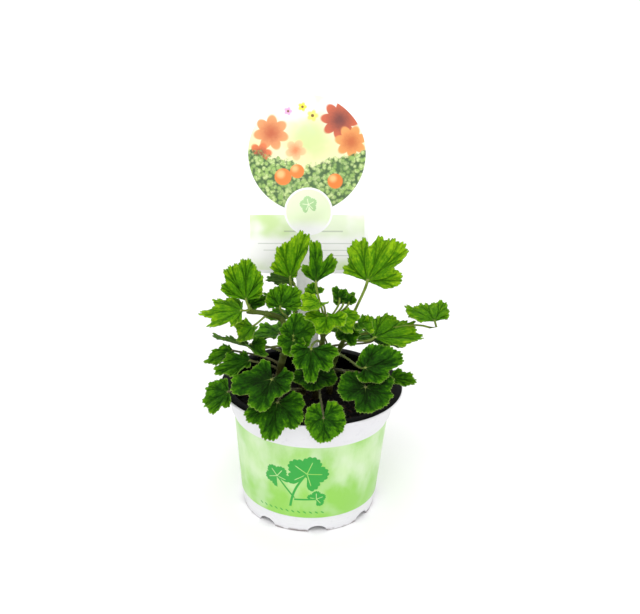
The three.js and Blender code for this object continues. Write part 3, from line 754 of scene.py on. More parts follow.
def label_finish():
    """Glossy white card. Its front has a round picture, a small round badge and a panel."""
    constants = {"Coat Weight": 0.5, "Coat Roughness": 0.12}
    spot = INTO_FRAME @ Vector((LABEL_X, LABEL_FOOT_Y, SOIL_LEVEL))
    finish = Finish("printed_card", constants, spot, label_matrix().to_euler())
    x, y, z = finish.axes(finish.place)
    from_head = y - HEAD_CENTRE
    card = tint(255, 255, 255)
    inside_panel = abs(x).step(PANEL_HALF_WIDTH - 3.1, PANEL_HALF_WIDTH - 3.4)
    inside_panel = inside_panel * y.between(PANEL_BOTTOM + 2.5, PANEL_TOP - 1.2)
    front = finish.mix(inside_panel, card, panel_print(finish, x, y))
    head = disc(x, from_head, (0, 0), PICTURE_RADIUS, softness=0.15)
    front = finish.mix(head, front, garden_picture(finish, x, from_head))
    badge_spot = (1, PANEL_TOP - HEAD_CENTRE + 1)
    ring = disc(x, from_head, badge_spot, MEDALLION_RADIUS + MEDALLION_RING, softness=0.15)
    front = finish.mix(ring, front, card)
    badge = disc(x, from_head, badge_spot, MEDALLION_RADIUS, softness=0.15)
    badge = badge * y.step(PANEL_TOP - 13, PANEL_TOP - 3)
    front = finish.mix(badge, front, tint(236, 250, 210))
    leaf_mark = printed_leaf(x, from_head, (1, PANEL_TOP - HEAD_CENTRE + 6), 6.5, 0.2)
    front = finish.mix(leaf_mark * 0.55, front, tint(96, 186, 70))
    back_wash = finish.noise(30, detail=2).step(0.3, 0.7)
    back = finish.mix(back_wash, tint(251, 251, 250), tint(246, 247, 244))
    back = finish.mix(back_print(x, y, from_head), back, tint(132, 190, 108))
    facing = z.step(LABEL_THICKNESS * 0.4, LABEL_THICKNESS * 0.6)
    stained = y.step(PANEL_BOTTOM - 3, PANEL_BOTTOM - 5)
    stained = stained * finish.noise(7, detail=4).step(0.45, 0.65)
    soiled = y.step(9, 0) * 0.6 + stained * 0.12
    finish.colour(finish.mix(soiled, finish.mix(facing, back, front), tint(96, 80, 66)))
    finish.roughness(finish.noise(9, detail=3) * 0.12 + 0.26)
    finish.relief(finish.noise(26, detail=1), 0.5)
    return finish.material


# Plant


BLADE_KINDS = {
    "fan": {
        "lobes": 5, "spread": 98, "lengths": (0.72, 0.92, 1, 0.92, 0.72), "cut": 0.13,
        "teeth": 0.05, "fold": 0.15, "cup": 0.05, "arch": 0.1, "droop": 0.06, "wave": 0.05,
    },
    "round": {
        "lobes": 5, "spread": 150, "lengths": (0.72, 0.9, 1, 0.9, 0.72), "cut": 0.09,
        "teeth": 0.045, "fold": 0.05, "cup": 0.06, "arch": 0.1, "droop": 0.12, "wave": 0.05,
    },
    "young": {
        "lobes": 3, "spread": 105, "lengths": (0.85, 1, 0.85), "cut": 0.2, "teeth": 0.08,
        "fold": 0.15, "cup": 0.15, "arch": 0.05, "droop": 0, "wave": 0.1,
    },
}


def leaf(kind, at, start, heading, pitch, reach, tone, **changes):
    """A leaf that springs from a share of its stem's length. Its blade starts at a spot with a
    compass heading, a rise of its midrib, a reach and a tone from dark to bright, which is partly
    the leaf's own green and partly painted light and shade: bright for leaves lit from above and
    dark for leaves in the shade inside the plant."""
    form = {"roll": 0, "width": 1, "lean": 0, "cuts": (), "stalk": 1, "via": None}
    form.update(BLADE_KINDS[kind], phase=at[0] + at[1], at=Vector(at), start=start, heading=heading)
    form.update(pitch=pitch, reach=reach, tone=tone)
    form.update(changes)
    return SimpleNamespace(**form)


def stem(name, radius, route, *leaves):
    route = [Vector(spot) for spot in route]
    return SimpleNamespace(name=name, radius=radius, route=route, leaves=leaves)


# Each leaf's last number before its named changes is its tone: partly the leaf's own green and
# partly painted light and shade, so leaves called dark or bright below are so partly by painted
# shade or painted light.
STEMS = [
    stem(
        "stem_left", 3.4,
        [(-24, 8, 78), (-23, 5, 100), (-19, 2, 124), (-22, 0, 141), (-33, -4, 147), (-46, -8, 150)],
        # Tall leaf at the branch end
        leaf("fan", (-46.5, -9, 158.5), 0.98, 97, 72, 30, 0.7, spread=78,
             lengths=(0.44, 0.7, 1, 0.86, 0.64), cuts=(0.04, 0.02, 0.02, 0.18)),
        # Farthest left
        leaf("fan", (-49, -12, 152), 0.98, 182, -5, 30, 0.82, roll=-16, spread=92,
             lengths=(0.5, 0.8, 0.97, 0.93, 0.6), cuts=(0.06, 0.2, 0.22, 0.34), fold=0.06),
        # Narrow, seen from its side
        leaf("fan", (-46, 4, 118), 0.55, 178, 16, 27, 0.2, roll=25, spread=85,
             lengths=(0.4, 0.72, 1, 0.72, 0.4), cut=0.08),
        # Under the branch
        leaf("young", (-42, -6, 138), 0.85, 215, -50, 15, 0.75, cut=0.1),
        # Behind the branch end
        leaf("fan", (-45, 3, 150), 0.97, 8, 25, 15, 0.4, roll=50, width=0.5),
        # Small and curled
        leaf("young", (-43, -10, 126), 0.5, -20, -40, 14, 0.35),
        # Over the rim, inner left
        leaf("fan", (-43, -15, 116), 0.35, 192, -16, 27, 0.38, roll=-10, spread=85,
             lengths=(0.38, 0.74, 0.98, 0.76, 0.4), cut=0.06),
        # Over the rim, outer left
        leaf("fan", (-58, 16, 109), 0.4, 205, -16, 24, 0.5, roll=-8, spread=85,
             lengths=(0.32, 0.62, 0.96, 0.76, 0.45), cut=0.05),
        # Beside the rim at the left
        leaf("fan", (-56, -38, 103), 0.3, 182, -28, 20.5, 0.4, roll=-25, spread=105,
             lengths=(0.6, 0.92, 1, 0.96, 0.66), cuts=(0.12, 0.16, 0.12, 0.24)),
    ),
    stem(
        "stem_middle", 3, [(-7, 16, 78), (-8, 13, 100), (-12, 12, 125), (-14, 12, 150)],
        # Round, upper middle
        leaf("fan", (-23.5, -3, 152), 0.8, 80, 58, 19, 0.52, spread=105,
             lengths=(0.84, 1, 0.9, 0.7, 0.55), cut=0.06),
        # Tall, in front of the label
        leaf("fan", (-17.6, 14, 167), 0.98, 70, 76, 36, 0.84, lobes=4, spread=74, lean=3,
             lengths=(0.27, 1, 0.68, 0.42), cuts=(0.36, 0.04, 0.04), fold=0.25),
        # Dark, behind the tall one
        leaf("fan", (-16, 24, 161), 0.9, 175, 2, 20, 0.05, roll=50, width=0.7),
        # Behind the round one
        leaf("fan", (-20, 23, 148), 0.9, 128, 0, 19, 0.3),
        # Middle of the plant
        leaf("round", (-13.5, -22.5, 139), 0.6, 75, 66, 17, 0.4,
             lengths=(0.78, 1, 0.98, 0.62, 0.6), cuts=(0.1, 0.05, 0.1, 0.15)),
        # Small, under the middle one
        leaf("young", (-13, -26, 137), 0.55, 250, -40, 13, 0.4),
        # Small, behind the middle one
        leaf("round", (-13, -8, 130), 0.7, 245, -30, 12, 0.1),
        # Broad, over the left rim
        leaf("round", (-26, -45, 117), 0.3, 258, -24, 29, 0.1, via=(-16, -18, 108), lean=-10,
             lengths=(0.55, 1, 0.93, 0.54, 0.53), cuts=(0.1, 0.3, 0.28, 0.12)),
        # Lobed, hangs over the rim
        leaf("round", (-22, -52, 104), 0.25, 259, -35, 28, 0.2, via=(-17, -26, 99), spread=130,
             lengths=(0.62, 0.88, 1, 0.86, 0.64), cuts=(0.1, 0.18, 0.22, 0.14)),
    ),
    stem(
        "stem_crown", 3, [(3, 9, 78), (4, 6, 100), (6, -2, 125), (9, -7, 142)],
        # Deeply cut, at the top
        leaf("young", (0.6, -10, 173.5), 0.95, 68, 72, 28, 0.52, spread=60, lean=6,
             lengths=(0.88, 1, 0.42), cuts=(0.44, 0.44), fold=0.1),
        # Bright, left of the crown
        leaf("young", (4, -20, 163), 0.9, 215, -20, 16, 0.95),
        # Behind the bright one
        leaf("young", (0, -8, 164), 0.9, 120, 30, 9, 0.6),
        # Bright, in front of the crown
        leaf("young", (9, -26, 156), 0.95, 260, -35, 17, 0.8, width=1.1, cut=0.26),
        # Curled, crown
        leaf("young", (20, -5, 157), 0.98, 100, 65, 10, 0.3),
        # Curled, crown
        leaf("young", (17, -7, 161), 0.98, 140, 45, 9, 0.3),
        # Curled, crown
        leaf("young", (24, -6, 158), 0.98, 40, 50, 8, 0.4),
        # Bright, right of the crown
        leaf("young", (16, -12, 151), 0.96, -55, -42, 17, 0.75),
        # Bright margin, in front
        leaf("fan", (-1, -38, 137), 0.75, 272, -45, 25, 0.3, spread=104,
             lengths=(0.56, 0.68, 1, 0.8, 0.76), cuts=(0.14, 0.26, 0.28, 0.14)),
        # Dark, low over the soil
        leaf("round", (2, -14, 107), 0.5, 268, -15, 17, 0.05, width=1.15),
        # Round, hangs over the rim
        leaf("round", (8.6, -64.6, 99.8), 0.3, 274, -42, 17.5, 0.38, spread=165,
             lengths=(0.7, 0.76, 1, 0.88, 0.82), cut=0.04),
    ),
    stem(
        "stem_right", 3, [(13, 17, 78), (14, 14, 98), (19, 6, 118), (25, 0, 136)],
        # Small, right of the crown
        leaf("young", (30, -5, 142), 0.98, -30, -25, 13, 0.6),
        # Small, under it
        leaf("young", (22, -10, 137), 0.9, -60, -35, 12, 0.35),
        # Broad, over the right rim
        leaf("round", (35, -42, 126), 0.6, 5, 18, 27, 0.2, roll=50, width=0.8, spread=140,
             lengths=(0.44, 0.68, 1, 0.82, 0.32), cuts=(0.1, 0.2, 0.03, 0.08)),
        # Dark, low at the right
        leaf("round", (36, -46, 114), 0.4, 277, -30, 20, 0.08, width=1.08, lean=-8,
             lengths=(0.85, 0.92, 1.04, 0.92, 0.95), cuts=(0.05, 0.36, 0.06, 0.16)),
        # Beside the rim at the right
        leaf("fan", (54, -20, 109), 0.4, -5, -5, 19, 0.45, roll=20, width=0.62, spread=80,
             cut=0.04),
        # Long, at the right
        leaf("fan", (42, -12, 135), 0.8, 38, 9, 36, 0.68, roll=14, spread=92,
             lengths=(0.6, 0.96, 0.96, 0.64, 0.5), cuts=(0.04, 0.1, 0.05, 0.05)),
        # Farthest right
        leaf("fan", (84, 0, 144), 0.9, 110, 14, 25, 0.72, via=(72, 0, 140.5), spread=100,
             lengths=(0.5, 0.92, 0.86, 0.96, 0.72), cuts=(0.05, 0.03, 0.12, 0.03)),
        # Largest, with a deep notch
        leaf("fan", (36, 2, 171), 0.98, 45, 62, 39, 0.86, spread=92,
             lengths=(0.8, 1, 0.84, 0.85, 0.62), cuts=(0.24, 0, 0.28, 0.03), stalk=1.35),
    ),
    stem(
        "stem_back", 2.8, [(6, 27, 78), (8, 29, 98), (7, 30, 112), (5, 30, 124)],
        # Back, left
        leaf("fan", (-26, 54, 107), 0.6, 165, -8, 26, 0.5, via=(2, 51, 99)),
        # Back, middle
        leaf("round", (4, 62, 113), 0.55, 85, -15, 21, 0.45, via=(10, 45, 104)),
        # Back, right
        leaf("fan", (30, 48, 108), 0.5, 42, -5, 26, 0.55),
        # Back, far right
        leaf("fan", (44, 26, 116), 0.7, 20, -5, 25, 0.4),
        # Back, upper left
        leaf("fan", (-20, 30, 130), 0.9, 165, 5, 18, 0.5),
        # Back, upper middle
        leaf("fan", (12, 30, 121), 0.85, 48, 10, 19, 0.6),
        # Back, upper right
        leaf("fan", (36, 22, 129), 0.95, 38, -8, 20, 0.5),
    ),
]


def blade_turn(blade):
    """Directions along a blade's midrib, across it and up from its face."""
    turn = Matrix.Rotation(math.radians(blade.heading), 4, "Z")
    turn = turn @ Matrix.Rotation(-math.radians(blade.pitch), 4, "Y")
    return turn @ Matrix.Rotation(math.radians(blade.roll), 4, "X")


def blade_angle(blade, share):
    return math.radians(blade.spread * share + blade.lean)


def lobe_place(blade, share):
    """How many lobes lie between a blade's right side and a place on its margin."""
    return (share + 1) / 2 * blade.lobes


def lobe_length(blade, lobe):
    """A blade's length towards a place on its margin, eased between the middles of its lobes."""
    place = min(max(lobe - 0.5, 0), blade.lobes - 1)
    before = min(math.floor(place), blade.lobes - 2)
    ease = (1 - math.cos(math.pi * (place - before))) / 2
    at_base = max(0, abs(lobe - blade.lobes / 2) - blade.lobes / 2 + 0.5)
    eased = blade.lengths[before] * (1 - ease) + blade.lengths[before + 1] * ease
    return eased * (1 - BASE_SHORTENING * at_base)


def margin_radius(blade, share, depth):
    """Reach of a blade's margin: lobes with cuts between them, each with rounded teeth and finer
    ones on them. Cuts and teeth die out towards the base."""
    lobe = lobe_place(blade, share)
    gap = round(lobe)
    inner = 0 < gap <= len(blade.cuts)
    cut = blade.cuts[gap - 1] if inner else blade.cut
    cut *= math.cos(math.pi * (lobe - gap)) ** 6
    tooth = (lobe * TEETH_PER_LOBE + 0.5) % 1
    small_tooth = lobe * TEETH_PER_LOBE * SMALL_TEETH % 1
    bite = blade.teeth * (1 - math.sin(math.pi * tooth))
    bite += SMALL_TOOTH_DEPTH * (1 - math.sin(math.pi * small_tooth))
    uneven = UNEVEN_MARGIN * noise.noise(Vector((lobe * 1.3, blade.phase, 0)))
    uneven += FINELY_UNEVEN_MARGIN * noise.noise(Vector((lobe * 5.3, blade.phase, 4)))
    outline = (1 - cut * depth) * (1 - bite * depth**6) * (1 + uneven * depth)
    return blade.reach * lobe_length(blade, lobe) * outline


def blade_height(blade, share, depth):
    """Height over the flat plane: cupped, arched across and waved with the lobes."""
    angle = blade_angle(blade, share)
    lobe = lobe_place(blade, share)
    across = depth * math.sin(angle)
    along = depth * math.cos(angle)
    wave = blade.wave * depth**2 * math.cos(math.tau * lobe + blade.phase)
    ruffle = RUFFLE * depth**3 * math.cos(math.tau * lobe * TEETH_PER_LOBE)
    curl = CURL * depth**4 * noise.noise(Vector((lobe * 1.7, blade.phase, 9)))
    droop = blade.droop * along * abs(along)
    bend = blade.fold * abs(across) + blade.cup * depth**2 - blade.arch * across**2 - droop
    return blade.reach * (bend + wave + ruffle + curl)


def vein_relief(blade, share, depth):
    """Grooves along the veins, which fork towards the teeth, with the blade puckered between."""
    lobe = lobe_place(blade, share)
    off = abs(lobe % 1 - 0.5)
    lobe_width = 2 * math.radians(blade.spread) / blade.lobes * blade.reach
    fork = max(0, depth - FORK_DEPTH) / (1 - FORK_DEPTH) / TEETH_PER_LOBE
    near_fork = max(0, depth - MINOR_FORK_DEPTH) / (1 - MINOR_FORK_DEPTH) / TEETH_PER_LOBE / 2
    far_fork = fork + near_fork * 0.9
    grooves = 0
    for place, strength in ((0, 1), (fork, 0.8), (near_fork, 0.45), (far_fork, 0.45), (0.5, 0.35)):
        away = abs(off - place) * depth * lobe_width
        grooves += strength * math.exp(-((away / VEIN_HALF_WIDTH) ** 2))
    pucker = noise.noise(Vector((lobe * 9, depth * blade.reach * 0.45, blade.phase)))
    relief = pucker * PUCKER - min(1.2, grooves) * VEIN_GROOVE
    return min(1, depth * 4) * relief * min(1, blade.reach / 24)


def mark(bm, name, value):
    """Keeps a value on all of a part's vertices, for its finish to read."""
    layer = bm.verts.layers.float.new(name)
    for vert in bm.verts:
        vert[layer] = value


def smooth_skin(bm, finish_index):
    for face in bm.faces:
        face.smooth = True
        face.material_index = finish_index


def add_blade(plant, blade):
    """A thin closed blade, whose map holds its lobes across and its depth from base to margin."""
    bm = bmesh.new()
    chart = bm.loops.layers.uv.new("blade")
    columns = blade.lobes * TEETH_PER_LOBE * SAMPLES_PER_TOOTH
    bmesh.ops.create_grid(bm, x_segments=columns, y_segments=BLADE_ROWS, size=1, calc_uvs=True)
    for face in bm.faces:
        for corner in face.loops:
            corner[chart].uv.x *= blade.lobes / MOST_LOBES
    margin = []
    for vert in bm.verts:
        share = vert.co.x
        depth = (vert.co.y + 1) / 2
        angle = blade_angle(blade, share)
        radius = margin_radius(blade, share, depth) * depth
        rise = blade_height(blade, share, depth) + vein_relief(blade, share, depth)
        vert.co = (radius * math.cos(angle), radius * math.sin(angle) * blade.width, rise)
        if depth > 0.999:
            margin.append(vert.co.copy())
    bmesh.ops.remove_doubles(bm, verts=bm.verts, dist=0.001)
    bmesh.ops.recalc_face_normals(bm, faces=bm.faces)
    if sum(face.normal.z * face.calc_area() for face in bm.faces) < 0:
        bmesh.ops.reverse_faces(bm, faces=bm.faces)
    under = bm.verts.layers.float.new("under")
    upper = set(bm.verts)
    bmesh.ops.solidify(bm, geom=bm.faces[:], thickness=BLADE_THICKNESS)
    for vert in bm.verts:
        vert[under] = float(vert not in upper)
    mark(bm, "tone", blade.tone)
    bmesh.ops.translate(bm, verts=bm.verts, vec=(0, 0, BLADE_THICKNESS / 2))
    smooth_skin(bm, BLADE_INDEX)
    fringe(bm, margin)
    bmesh.ops.transform(bm, matrix=Matrix.Translation(blade.at) @ blade_turn(blade), verts=bm.verts)
    absorb(plant, bm)


def random_vector(spread):
    return Vector((random.gauss(0, spread), random.gauss(0, spread), random.gauss(0, spread)))


def add_hair(bm, root, direction, least, most):
    """One fine hair, a three-sided spike, whose length is between two shares of the full one."""
    length = HAIR_LENGTH * random.uniform(least, most)
    turn = direction.to_track_quat("Z", "Y").to_matrix().to_4x4()
    middle = root + direction.normalized() * length * 0.45
    made = bmesh.ops.create_cone(
        bm, cap_ends=True, segments=3, radius1=HAIR_RADIUS, radius2=HAIR_RADIUS / 5, depth=length,
        matrix=Matrix.Translation(middle) @ turn,
    )
    use_finish(made, HAIR_INDEX)


def fringe(bm, margin):
    """Fine pale hairs round a blade's margin."""
    for first, second in zip(margin, margin[1:]):
        for _ in range(2):
            root = first.lerp(second, random.random())
            add_hair(bm, root, root.normalized() + random_vector(0.35), 0.5, 1.1)


def route_slope(before, middle, after):
    """How a smooth line passes the middle one of three points. It weighs the gaps between them
    by their square roots, so that uneven spacing makes no loops."""
    first_gap = math.sqrt((middle - before).length)
    second_gap = math.sqrt((after - middle).length)
    slope = (middle - before) / first_gap - (after - before) / (first_gap + second_gap)
    return slope + (after - middle) / second_gap


def smooth_route(points):
    """A smooth line through points, in short straight pieces."""
    padded = [2 * points[0] - points[1], *points, 2 * points[-1] - points[-2]]
    line = []
    for before, first, second, after in zip(padded, padded[1:], padded[2:], padded[3:]):
        gap = math.sqrt((second - first).length)
        start_handle = first + route_slope(before, first, second) * gap / 3
        end_handle = second - route_slope(first, second, after) * gap / 3
        line += interpolate_bezier(first, start_handle, end_handle, second, ROUTE_POINTS)[:-1]
    return line + [points[-1]]


def spot_along(line, share):
    """The place at a share of a line's length, and the direction there."""
    pieces = [(start, end, (end - start).length) for start, end in zip(line, line[1:])]
    left = share * sum(length for _, _, length in pieces)
    for start, end, length in pieces:
        if left <= length or end is line[-1]:
            return start.lerp(end, min(1, left / length)), end - start
        left -= length


def petiole_route(blade, start):
    """Leaves the stem upwards and ends just past the blade's base."""
    bend = 0.35 if blade.pitch > 30 else 0.9
    midrib = blade_turn(blade).to_3x3() @ Vector((1, 0, bend))
    midrib.normalize()
    end = blade.at + midrib * 0.6
    span = (end - start).length
    lift = start + Vector((0, 0, span * 0.25))
    approach = end - midrib * min(span * 0.3, MOST_APPROACH)
    if blade.via:
        return smooth_route([start, Vector(blade.via), approach.lerp(end, 0.3), end])
    return interpolate_bezier(start, lift, approach, end, PETIOLE_POINTS)


def add_stalk(plant, line, radius_at, sides, sections, age_at, hair_count):
    """A round stalk along a line, extruded ring by ring, with hairs. Its age runs from green
    to woody."""
    bm = bmesh.new()
    age = bm.verts.layers.float.new("age")
    frames = []
    upright = Vector((0, 1, 0.1))
    for index in range(sections + 1):
        share = index / sections
        spot, direction = spot_along(line, share)
        direction = direction.normalized()
        upright = (upright - direction * upright.dot(direction)).normalized()
        side = direction.cross(upright)
        turn = Matrix((side, upright, direction)).transposed().to_4x4()
        frames.append(Matrix.Translation(spot) @ turn @ Matrix.Scale(radius_at(share), 4))
    bmesh.ops.create_circle(bm, cap_ends=True, segments=sides, radius=1, matrix=frames[0])
    for vert in bm.verts:
        vert[age] = age_at(0)
    cap = bm.faces[:]
    for index in range(1, sections + 1):
        grown = bmesh.ops.extrude_face_region(bm, geom=cap)["geom"]
        cap = [part for part in grown if isinstance(part, bmesh.types.BMFace)]
        ring = [part for part in grown if isinstance(part, bmesh.types.BMVert)]
        bmesh.ops.transform(bm, matrix=frames[index] @ frames[index - 1].inverted(), verts=ring)
        for vert in ring:
            vert[age] = age_at(index / sections)
    bmesh.ops.recalc_face_normals(bm, faces=bm.faces)
    smooth_skin(bm, STALK_INDEX)
    for _ in range(hair_count):
        share = random.uniform(0.03, 0.97)
        spot, direction = spot_along(line, share)
        outward = direction.normalized().cross(random_vector(1)).normalized()
        add_hair(bm, spot + outward * radius_at(share) * 0.95, outward, 0.5, 1.0)
    absorb(plant, bm)


def add_stipule(plant, spot, direction):
    """A small pointed scale at a petiole's foot."""
    bm = bmesh.new()
    turn = direction.to_track_quat("Z", "Y").to_matrix().to_4x4()
    lift = Matrix.Translation((0, 0, 1.6))
    flatten = Matrix.Diagonal((1, STIPULE_FLATNESS, 1, 1))
    bmesh.ops.create_cone(
        bm, cap_ends=True, segments=8, radius1=STIPULE_RADIUS, radius2=0.1, depth=STIPULE_LENGTH,
        matrix=Matrix.Translation(spot) @ turn @ lift @ flatten,
    )
    mark(bm, "age", 0.35)
    smooth_skin(bm, STALK_INDEX)
    absorb(plant, bm)


def absorb(plant, part):
    """Moves the mesh of a finished part into that of its leafy stem."""
    mesh = bpy.data.meshes.new("part")
    part.to_mesh(mesh)
    part.free()
    plant.from_mesh(mesh)
    bpy.data.meshes.remove(mesh)


def build_stem(stalk, finishes):
    plant = bmesh.new()
    foot = stalk.route[0].copy()
    foot.z = SOIL_LEVEL - STEM_DEPTH
    line = smooth_route([foot, *stalk.route])
    joints = [blade.start for blade in stalk.leaves]

    def stem_radius(share):
        swelling = sum(math.exp(-(((share - joint) / JOINT_LENGTH) ** 2)) for joint in joints)
        swollen = 1 + JOINT_SWELLING * min(1.5, swelling)
        return stalk.radius * (1 - STEM_TAPER * share) * swollen

    def stem_age(share):
        return max(0.4, min(1, 1.15 - 1.25 * share))

    add_stalk(plant, line, stem_radius, STEM_SIDES, STEM_SECTIONS, stem_age, STEM_HAIRS)
    for blade in stalk.leaves:
        start, direction = spot_along(line, blade.start)
        route = petiole_route(blade, start)
        hair_count = int(30 + (blade.at - start).length * 2.5)

        def petiole_radius(share):
            taper = 1.25 - 0.4 * min(1, share * 2) + 0.1 * max(0, share * 4 - 3)
            return PETIOLE_RADIUS * blade.stalk * taper

        def petiole_age(share):
            return 0.2 * (1 - share) + 0.1 * (1 - blade.tone)

        add_stalk(
            plant, route, petiole_radius, PETIOLE_SIDES, PETIOLE_SECTIONS, petiole_age, hair_count,
        )
        leaving = route[3] - route[0]
        for side in (-1, 1):
            sideways = direction.cross(leaving).normalized() * side
            outward = leaving.normalized() * 0.8 + sideways * 0.6 + direction.normalized() * 0.4
            add_stipule(plant, start + sideways * stem_radius(blade.start) * 0.5, outward)
        add_blade(plant, blade)
    place_piece(plant, stalk.name + "_foliage", finishes, stalk.name)


def blade_finish():
    """Velvety green, streaked along the veins, with painted light and shade: each leaf's tone is
    partly painted light, the heart is painted darker and the margin lighter, the thin grooves of
    the veins are painted dark as shade, the puckers and folds between are painted lighter and
    darker, and the pale margin is partly pale hairs and partly a painted rim highlight."""
    finish = Finish("geranium_blade", {"Specular IOR Level": 0.08})
    chart = finish.node("ShaderNodeUVMap", {"uv_map": "blade"}, {})
    across, depth, _ = finish.axes(chart)
    lobes = across * MOST_LOBES
    # The leaf's tone: its own green, and painted light and shade from how light falls on it.
    tone = finish.attribute("tone")
    under = finish.attribute("under")
    off = abs(lobes.math("FRACT") - 0.5)
    fork = (depth - FORK_DEPTH).math("MAXIMUM", 0) * (1 / (1 - FORK_DEPTH) / TEETH_PER_LOBE)
    near_fork = (depth - MINOR_FORK_DEPTH).math("MAXIMUM", 0)
    near_fork = near_fork * (1 / (1 - MINOR_FORK_DEPTH) / TEETH_PER_LOBE / 2)
    far_fork = fork + near_fork * 0.9
    main_vein = (off * depth).step(0.026, 0.004)
    side_vein = (abs(off - fork) * depth).step(0.022, 0.003) * depth.step(0.2, 0.4)
    near_vein = (abs(off - near_fork) * depth).step(0.018, 0.002)
    far_vein = (abs(off - far_fork) * depth).step(0.018, 0.002)
    fine_veins = strongest(near_vein, far_vein) * depth.step(0.45, 0.65)
    net = finish.cells(1.4, feature="DISTANCE_TO_EDGE").step(0.2, 0.02)
    veins = (main_vein + side_vein * 0.85 + fine_veins * 0.5 + net * 0.26).math("MINIMUM", 1.0)
    # Streaks along the lobes are painted light and shade of the puckers; they also raise the relief
    # further on.
    inputs = {"X": lobes * 9, "Y": depth * 4, "Z": tone * 40}
    polar = finish.node("ShaderNodeCombineXYZ", {}, inputs)
    streaks = finish.noise(1, detail=3, roughness=0.6, vector=polar)
    mottle = finish.noise(5, detail=3, roughness=0.6)
    crinkle = finish.noise(1.7, detail=2, roughness=0.6)
    # Painted light and shade of the fan folds: lighter on the ridges between veins, darker in the
    # valleys along them.
    painted_fold_shading = off.math("MINIMUM", abs(off - fork)).step(0, 0.14) - 0.5
    uneven = (streaks - 0.5) * 0.8 + (mottle - 0.5) * 0.5 + (crinkle - 0.5) * 0.45 + painted_fold_shading * 0.12
    # Painted light and shade: darker towards the leaf's heart and brighter towards its margin, less
    # so on brighter leaves.
    outward = (depth * depth - 0.4) * (0.6 - tone * 0.3)
    brightness = tone * 0.72 + uneven + outward + 0.03
    green = finish.mix(brightness.step(-0.15, 0.3), tint(10, 34, 0), tint(30, 78, 0))
    green = finish.mix(brightness.step(0.2, 0.62), green, tint(76, 134, 2))
    green = finish.mix(brightness.step(0.55, 1.05), green, tint(150, 196, 20))
    # Painted shade in the grooves along the veins.
    green = finish.mix(veins * 0.42, green, tint(16, 54, 0))
    pale_midrib = (off * depth).step(0.012, 0.004) * depth.step(0.24, 0.05)
    green = finish.mix(pale_midrib * 0.3, green, tint(140, 168, 80))
    green = finish.mix(depth.step(0.07, 0.02), green, tint(168, 184, 96))
    # A pale margin, partly the pale hairs and partly a painted rim highlight where they catch the
    # light.
    rim = depth + finish.noise(2, detail=2) * 0.03
    green = finish.mix(rim.step(0.985, 1.01) * 0.55, green, tint(150, 188, 70))
    back = finish.mix(mottle, tint(52, 92, 26), tint(80, 122, 44))
    back = finish.mix(veins * 0.5, back, tint(118, 150, 80))
    finish.colour(finish.mix(under, green, back))
    finish.roughness(mottle * 0.15 + 0.55)
    fuzz = finish.noise(0.7, detail=3, roughness=0.7)
    lift = (under * 2 - 1) * veins
    finish.relief(lift * 0.7 + fuzz * 0.25 + streaks * 0.3, 0.6)
    return finish.material


def stalk_finish():
    """Pale green when young, greyer low down, and brown and scarred when old."""
    finish = Finish("geranium_stalk", {"Specular IOR Level": 0.15})
    age = finish.attribute("age")
    fleck = finish.noise(2.2, detail=5, roughness=0.7, stretch=(1, 1, 0.4))
    patch = finish.noise(9, detail=2)
    _, _, height = finish.axes(finish.place)
    high_up = finish.mix(patch, tint(138, 156, 66), tint(98, 126, 40))
    low_down = finish.mix(patch, tint(112, 104, 78), tint(84, 92, 52))
    young = finish.mix(height.step(136, 108), high_up, low_down)
    young = finish.mix(age.step(0.3, 0.4), young, tint(76, 92, 32))
    old = finish.mix(fleck, tint(50, 42, 22), tint(92, 84, 44))
    woody = (age + fleck * 0.4).step(0.6, 1.0)
    finish.colour(finish.mix(woody, young, old))
    finish.roughness(fleck * 0.2 + 0.5)
    finish.relief(fleck, 0.3)
    return finish.material


def hair_finish():
    """Fine pale hairs, a little greener in places."""
    finish = Finish("geranium_hairs", {"Roughness": 0.6})
    shade = finish.noise(3, detail=1)
    finish.colour(finish.mix(shade, tint(186, 204, 130), tint(138, 170, 76)))
    return finish.material


# Pieces in the frame


def add_object(name, data):
    made = bpy.data.objects.new(name, data)
    bpy.context.scene.collection.objects.link(made)
    return made


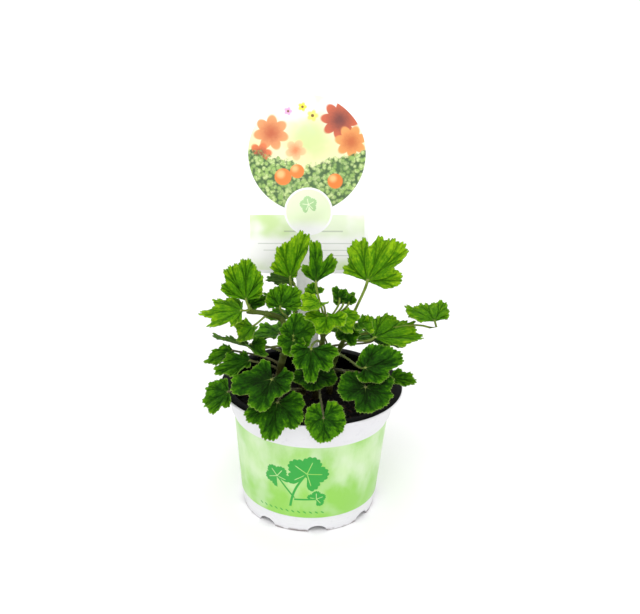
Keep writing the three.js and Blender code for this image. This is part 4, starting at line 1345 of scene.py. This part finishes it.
def mesh_object(bm, name):
    """An object in the scene with a shape in millimetres, scaled and moved into the frame."""
    bmesh.ops.transform(bm, matrix=INTO_FRAME, verts=bm.verts)
    mesh = bpy.data.meshes.new(name)
    bm.to_mesh(mesh)
    bm.free()
    return add_object(name, mesh)


def place_piece(bm, name, finishes, node):
    """A finished piece, which stands for one CAD node."""
    piece = mesh_object(bm, name)
    for material in finishes:
        piece.data.materials.append(material)
    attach(piece, "root")
    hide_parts(node)
    return piece


def build_plant():
    finishes = [blade_finish(), stalk_finish(), hair_finish()]
    for stalk in STEMS:
        build_stem(stalk, finishes)


# Studio


def floor_finish():
    finish = Finish("studio_floor", {"Roughness": 0.85})
    finish.colour(finish.mix(finish.noise(300), tint(252, 252, 252), tint(255, 255, 255)))
    return finish.material


def add_sun(name, strength, softness, direction):
    light = bpy.data.lights.new(name, "SUN")
    light.energy = strength
    light.angle = math.radians(softness)
    add_object(name, light).rotation_euler = direction.to_track_quat("-Z", "Y").to_euler()


def build_studio():
    bm = bmesh.new()
    bmesh.ops.create_grid(bm, x_segments=1, y_segments=1, size=FLOOR_REACH)
    floor = mesh_object(bm, "studio_floor")
    floor.data.materials.append(floor_finish())
    world = bpy.data.worlds.new("studio")
    bpy.context.scene.world = world
    world.use_nodes = True
    background = world.node_tree.nodes["Background"]
    background.inputs["Color"].default_value = (1, 1, 1, 1)
    background.inputs["Strength"].default_value = WORLD_LIGHT
    bpy.context.scene.view_settings.view_transform = "Standard"
    add_sun("key_light", KEY_LIGHT, KEY_SOFTNESS, KEY_DIRECTION)
    add_sun("fill_light", FILL_LIGHT, FILL_SOFTNESS, FILL_DIRECTION)


def build_camera():
    camera = bpy.data.cameras.new("camera")
    camera.sensor_width = SENSOR_WIDTH
    camera.lens = FOCAL_PIXELS / PHOTO_WIDTH_PIXELS * SENSOR_WIDTH
    made = add_object("camera", camera)
    tilt = Matrix.Rotation(math.radians(90 - CAMERA_DROP), 4, "X")
    roll = Matrix.Rotation(CAMERA_ROLL, 4, "Z")
    made.matrix_world = Matrix.Translation(INTO_FRAME @ CAMERA_SPOT) @ tilt @ roll
    bpy.context.scene.camera = made


build_camera()
build_studio()
build_pot()
build_soil()
build_label()
build_plant()
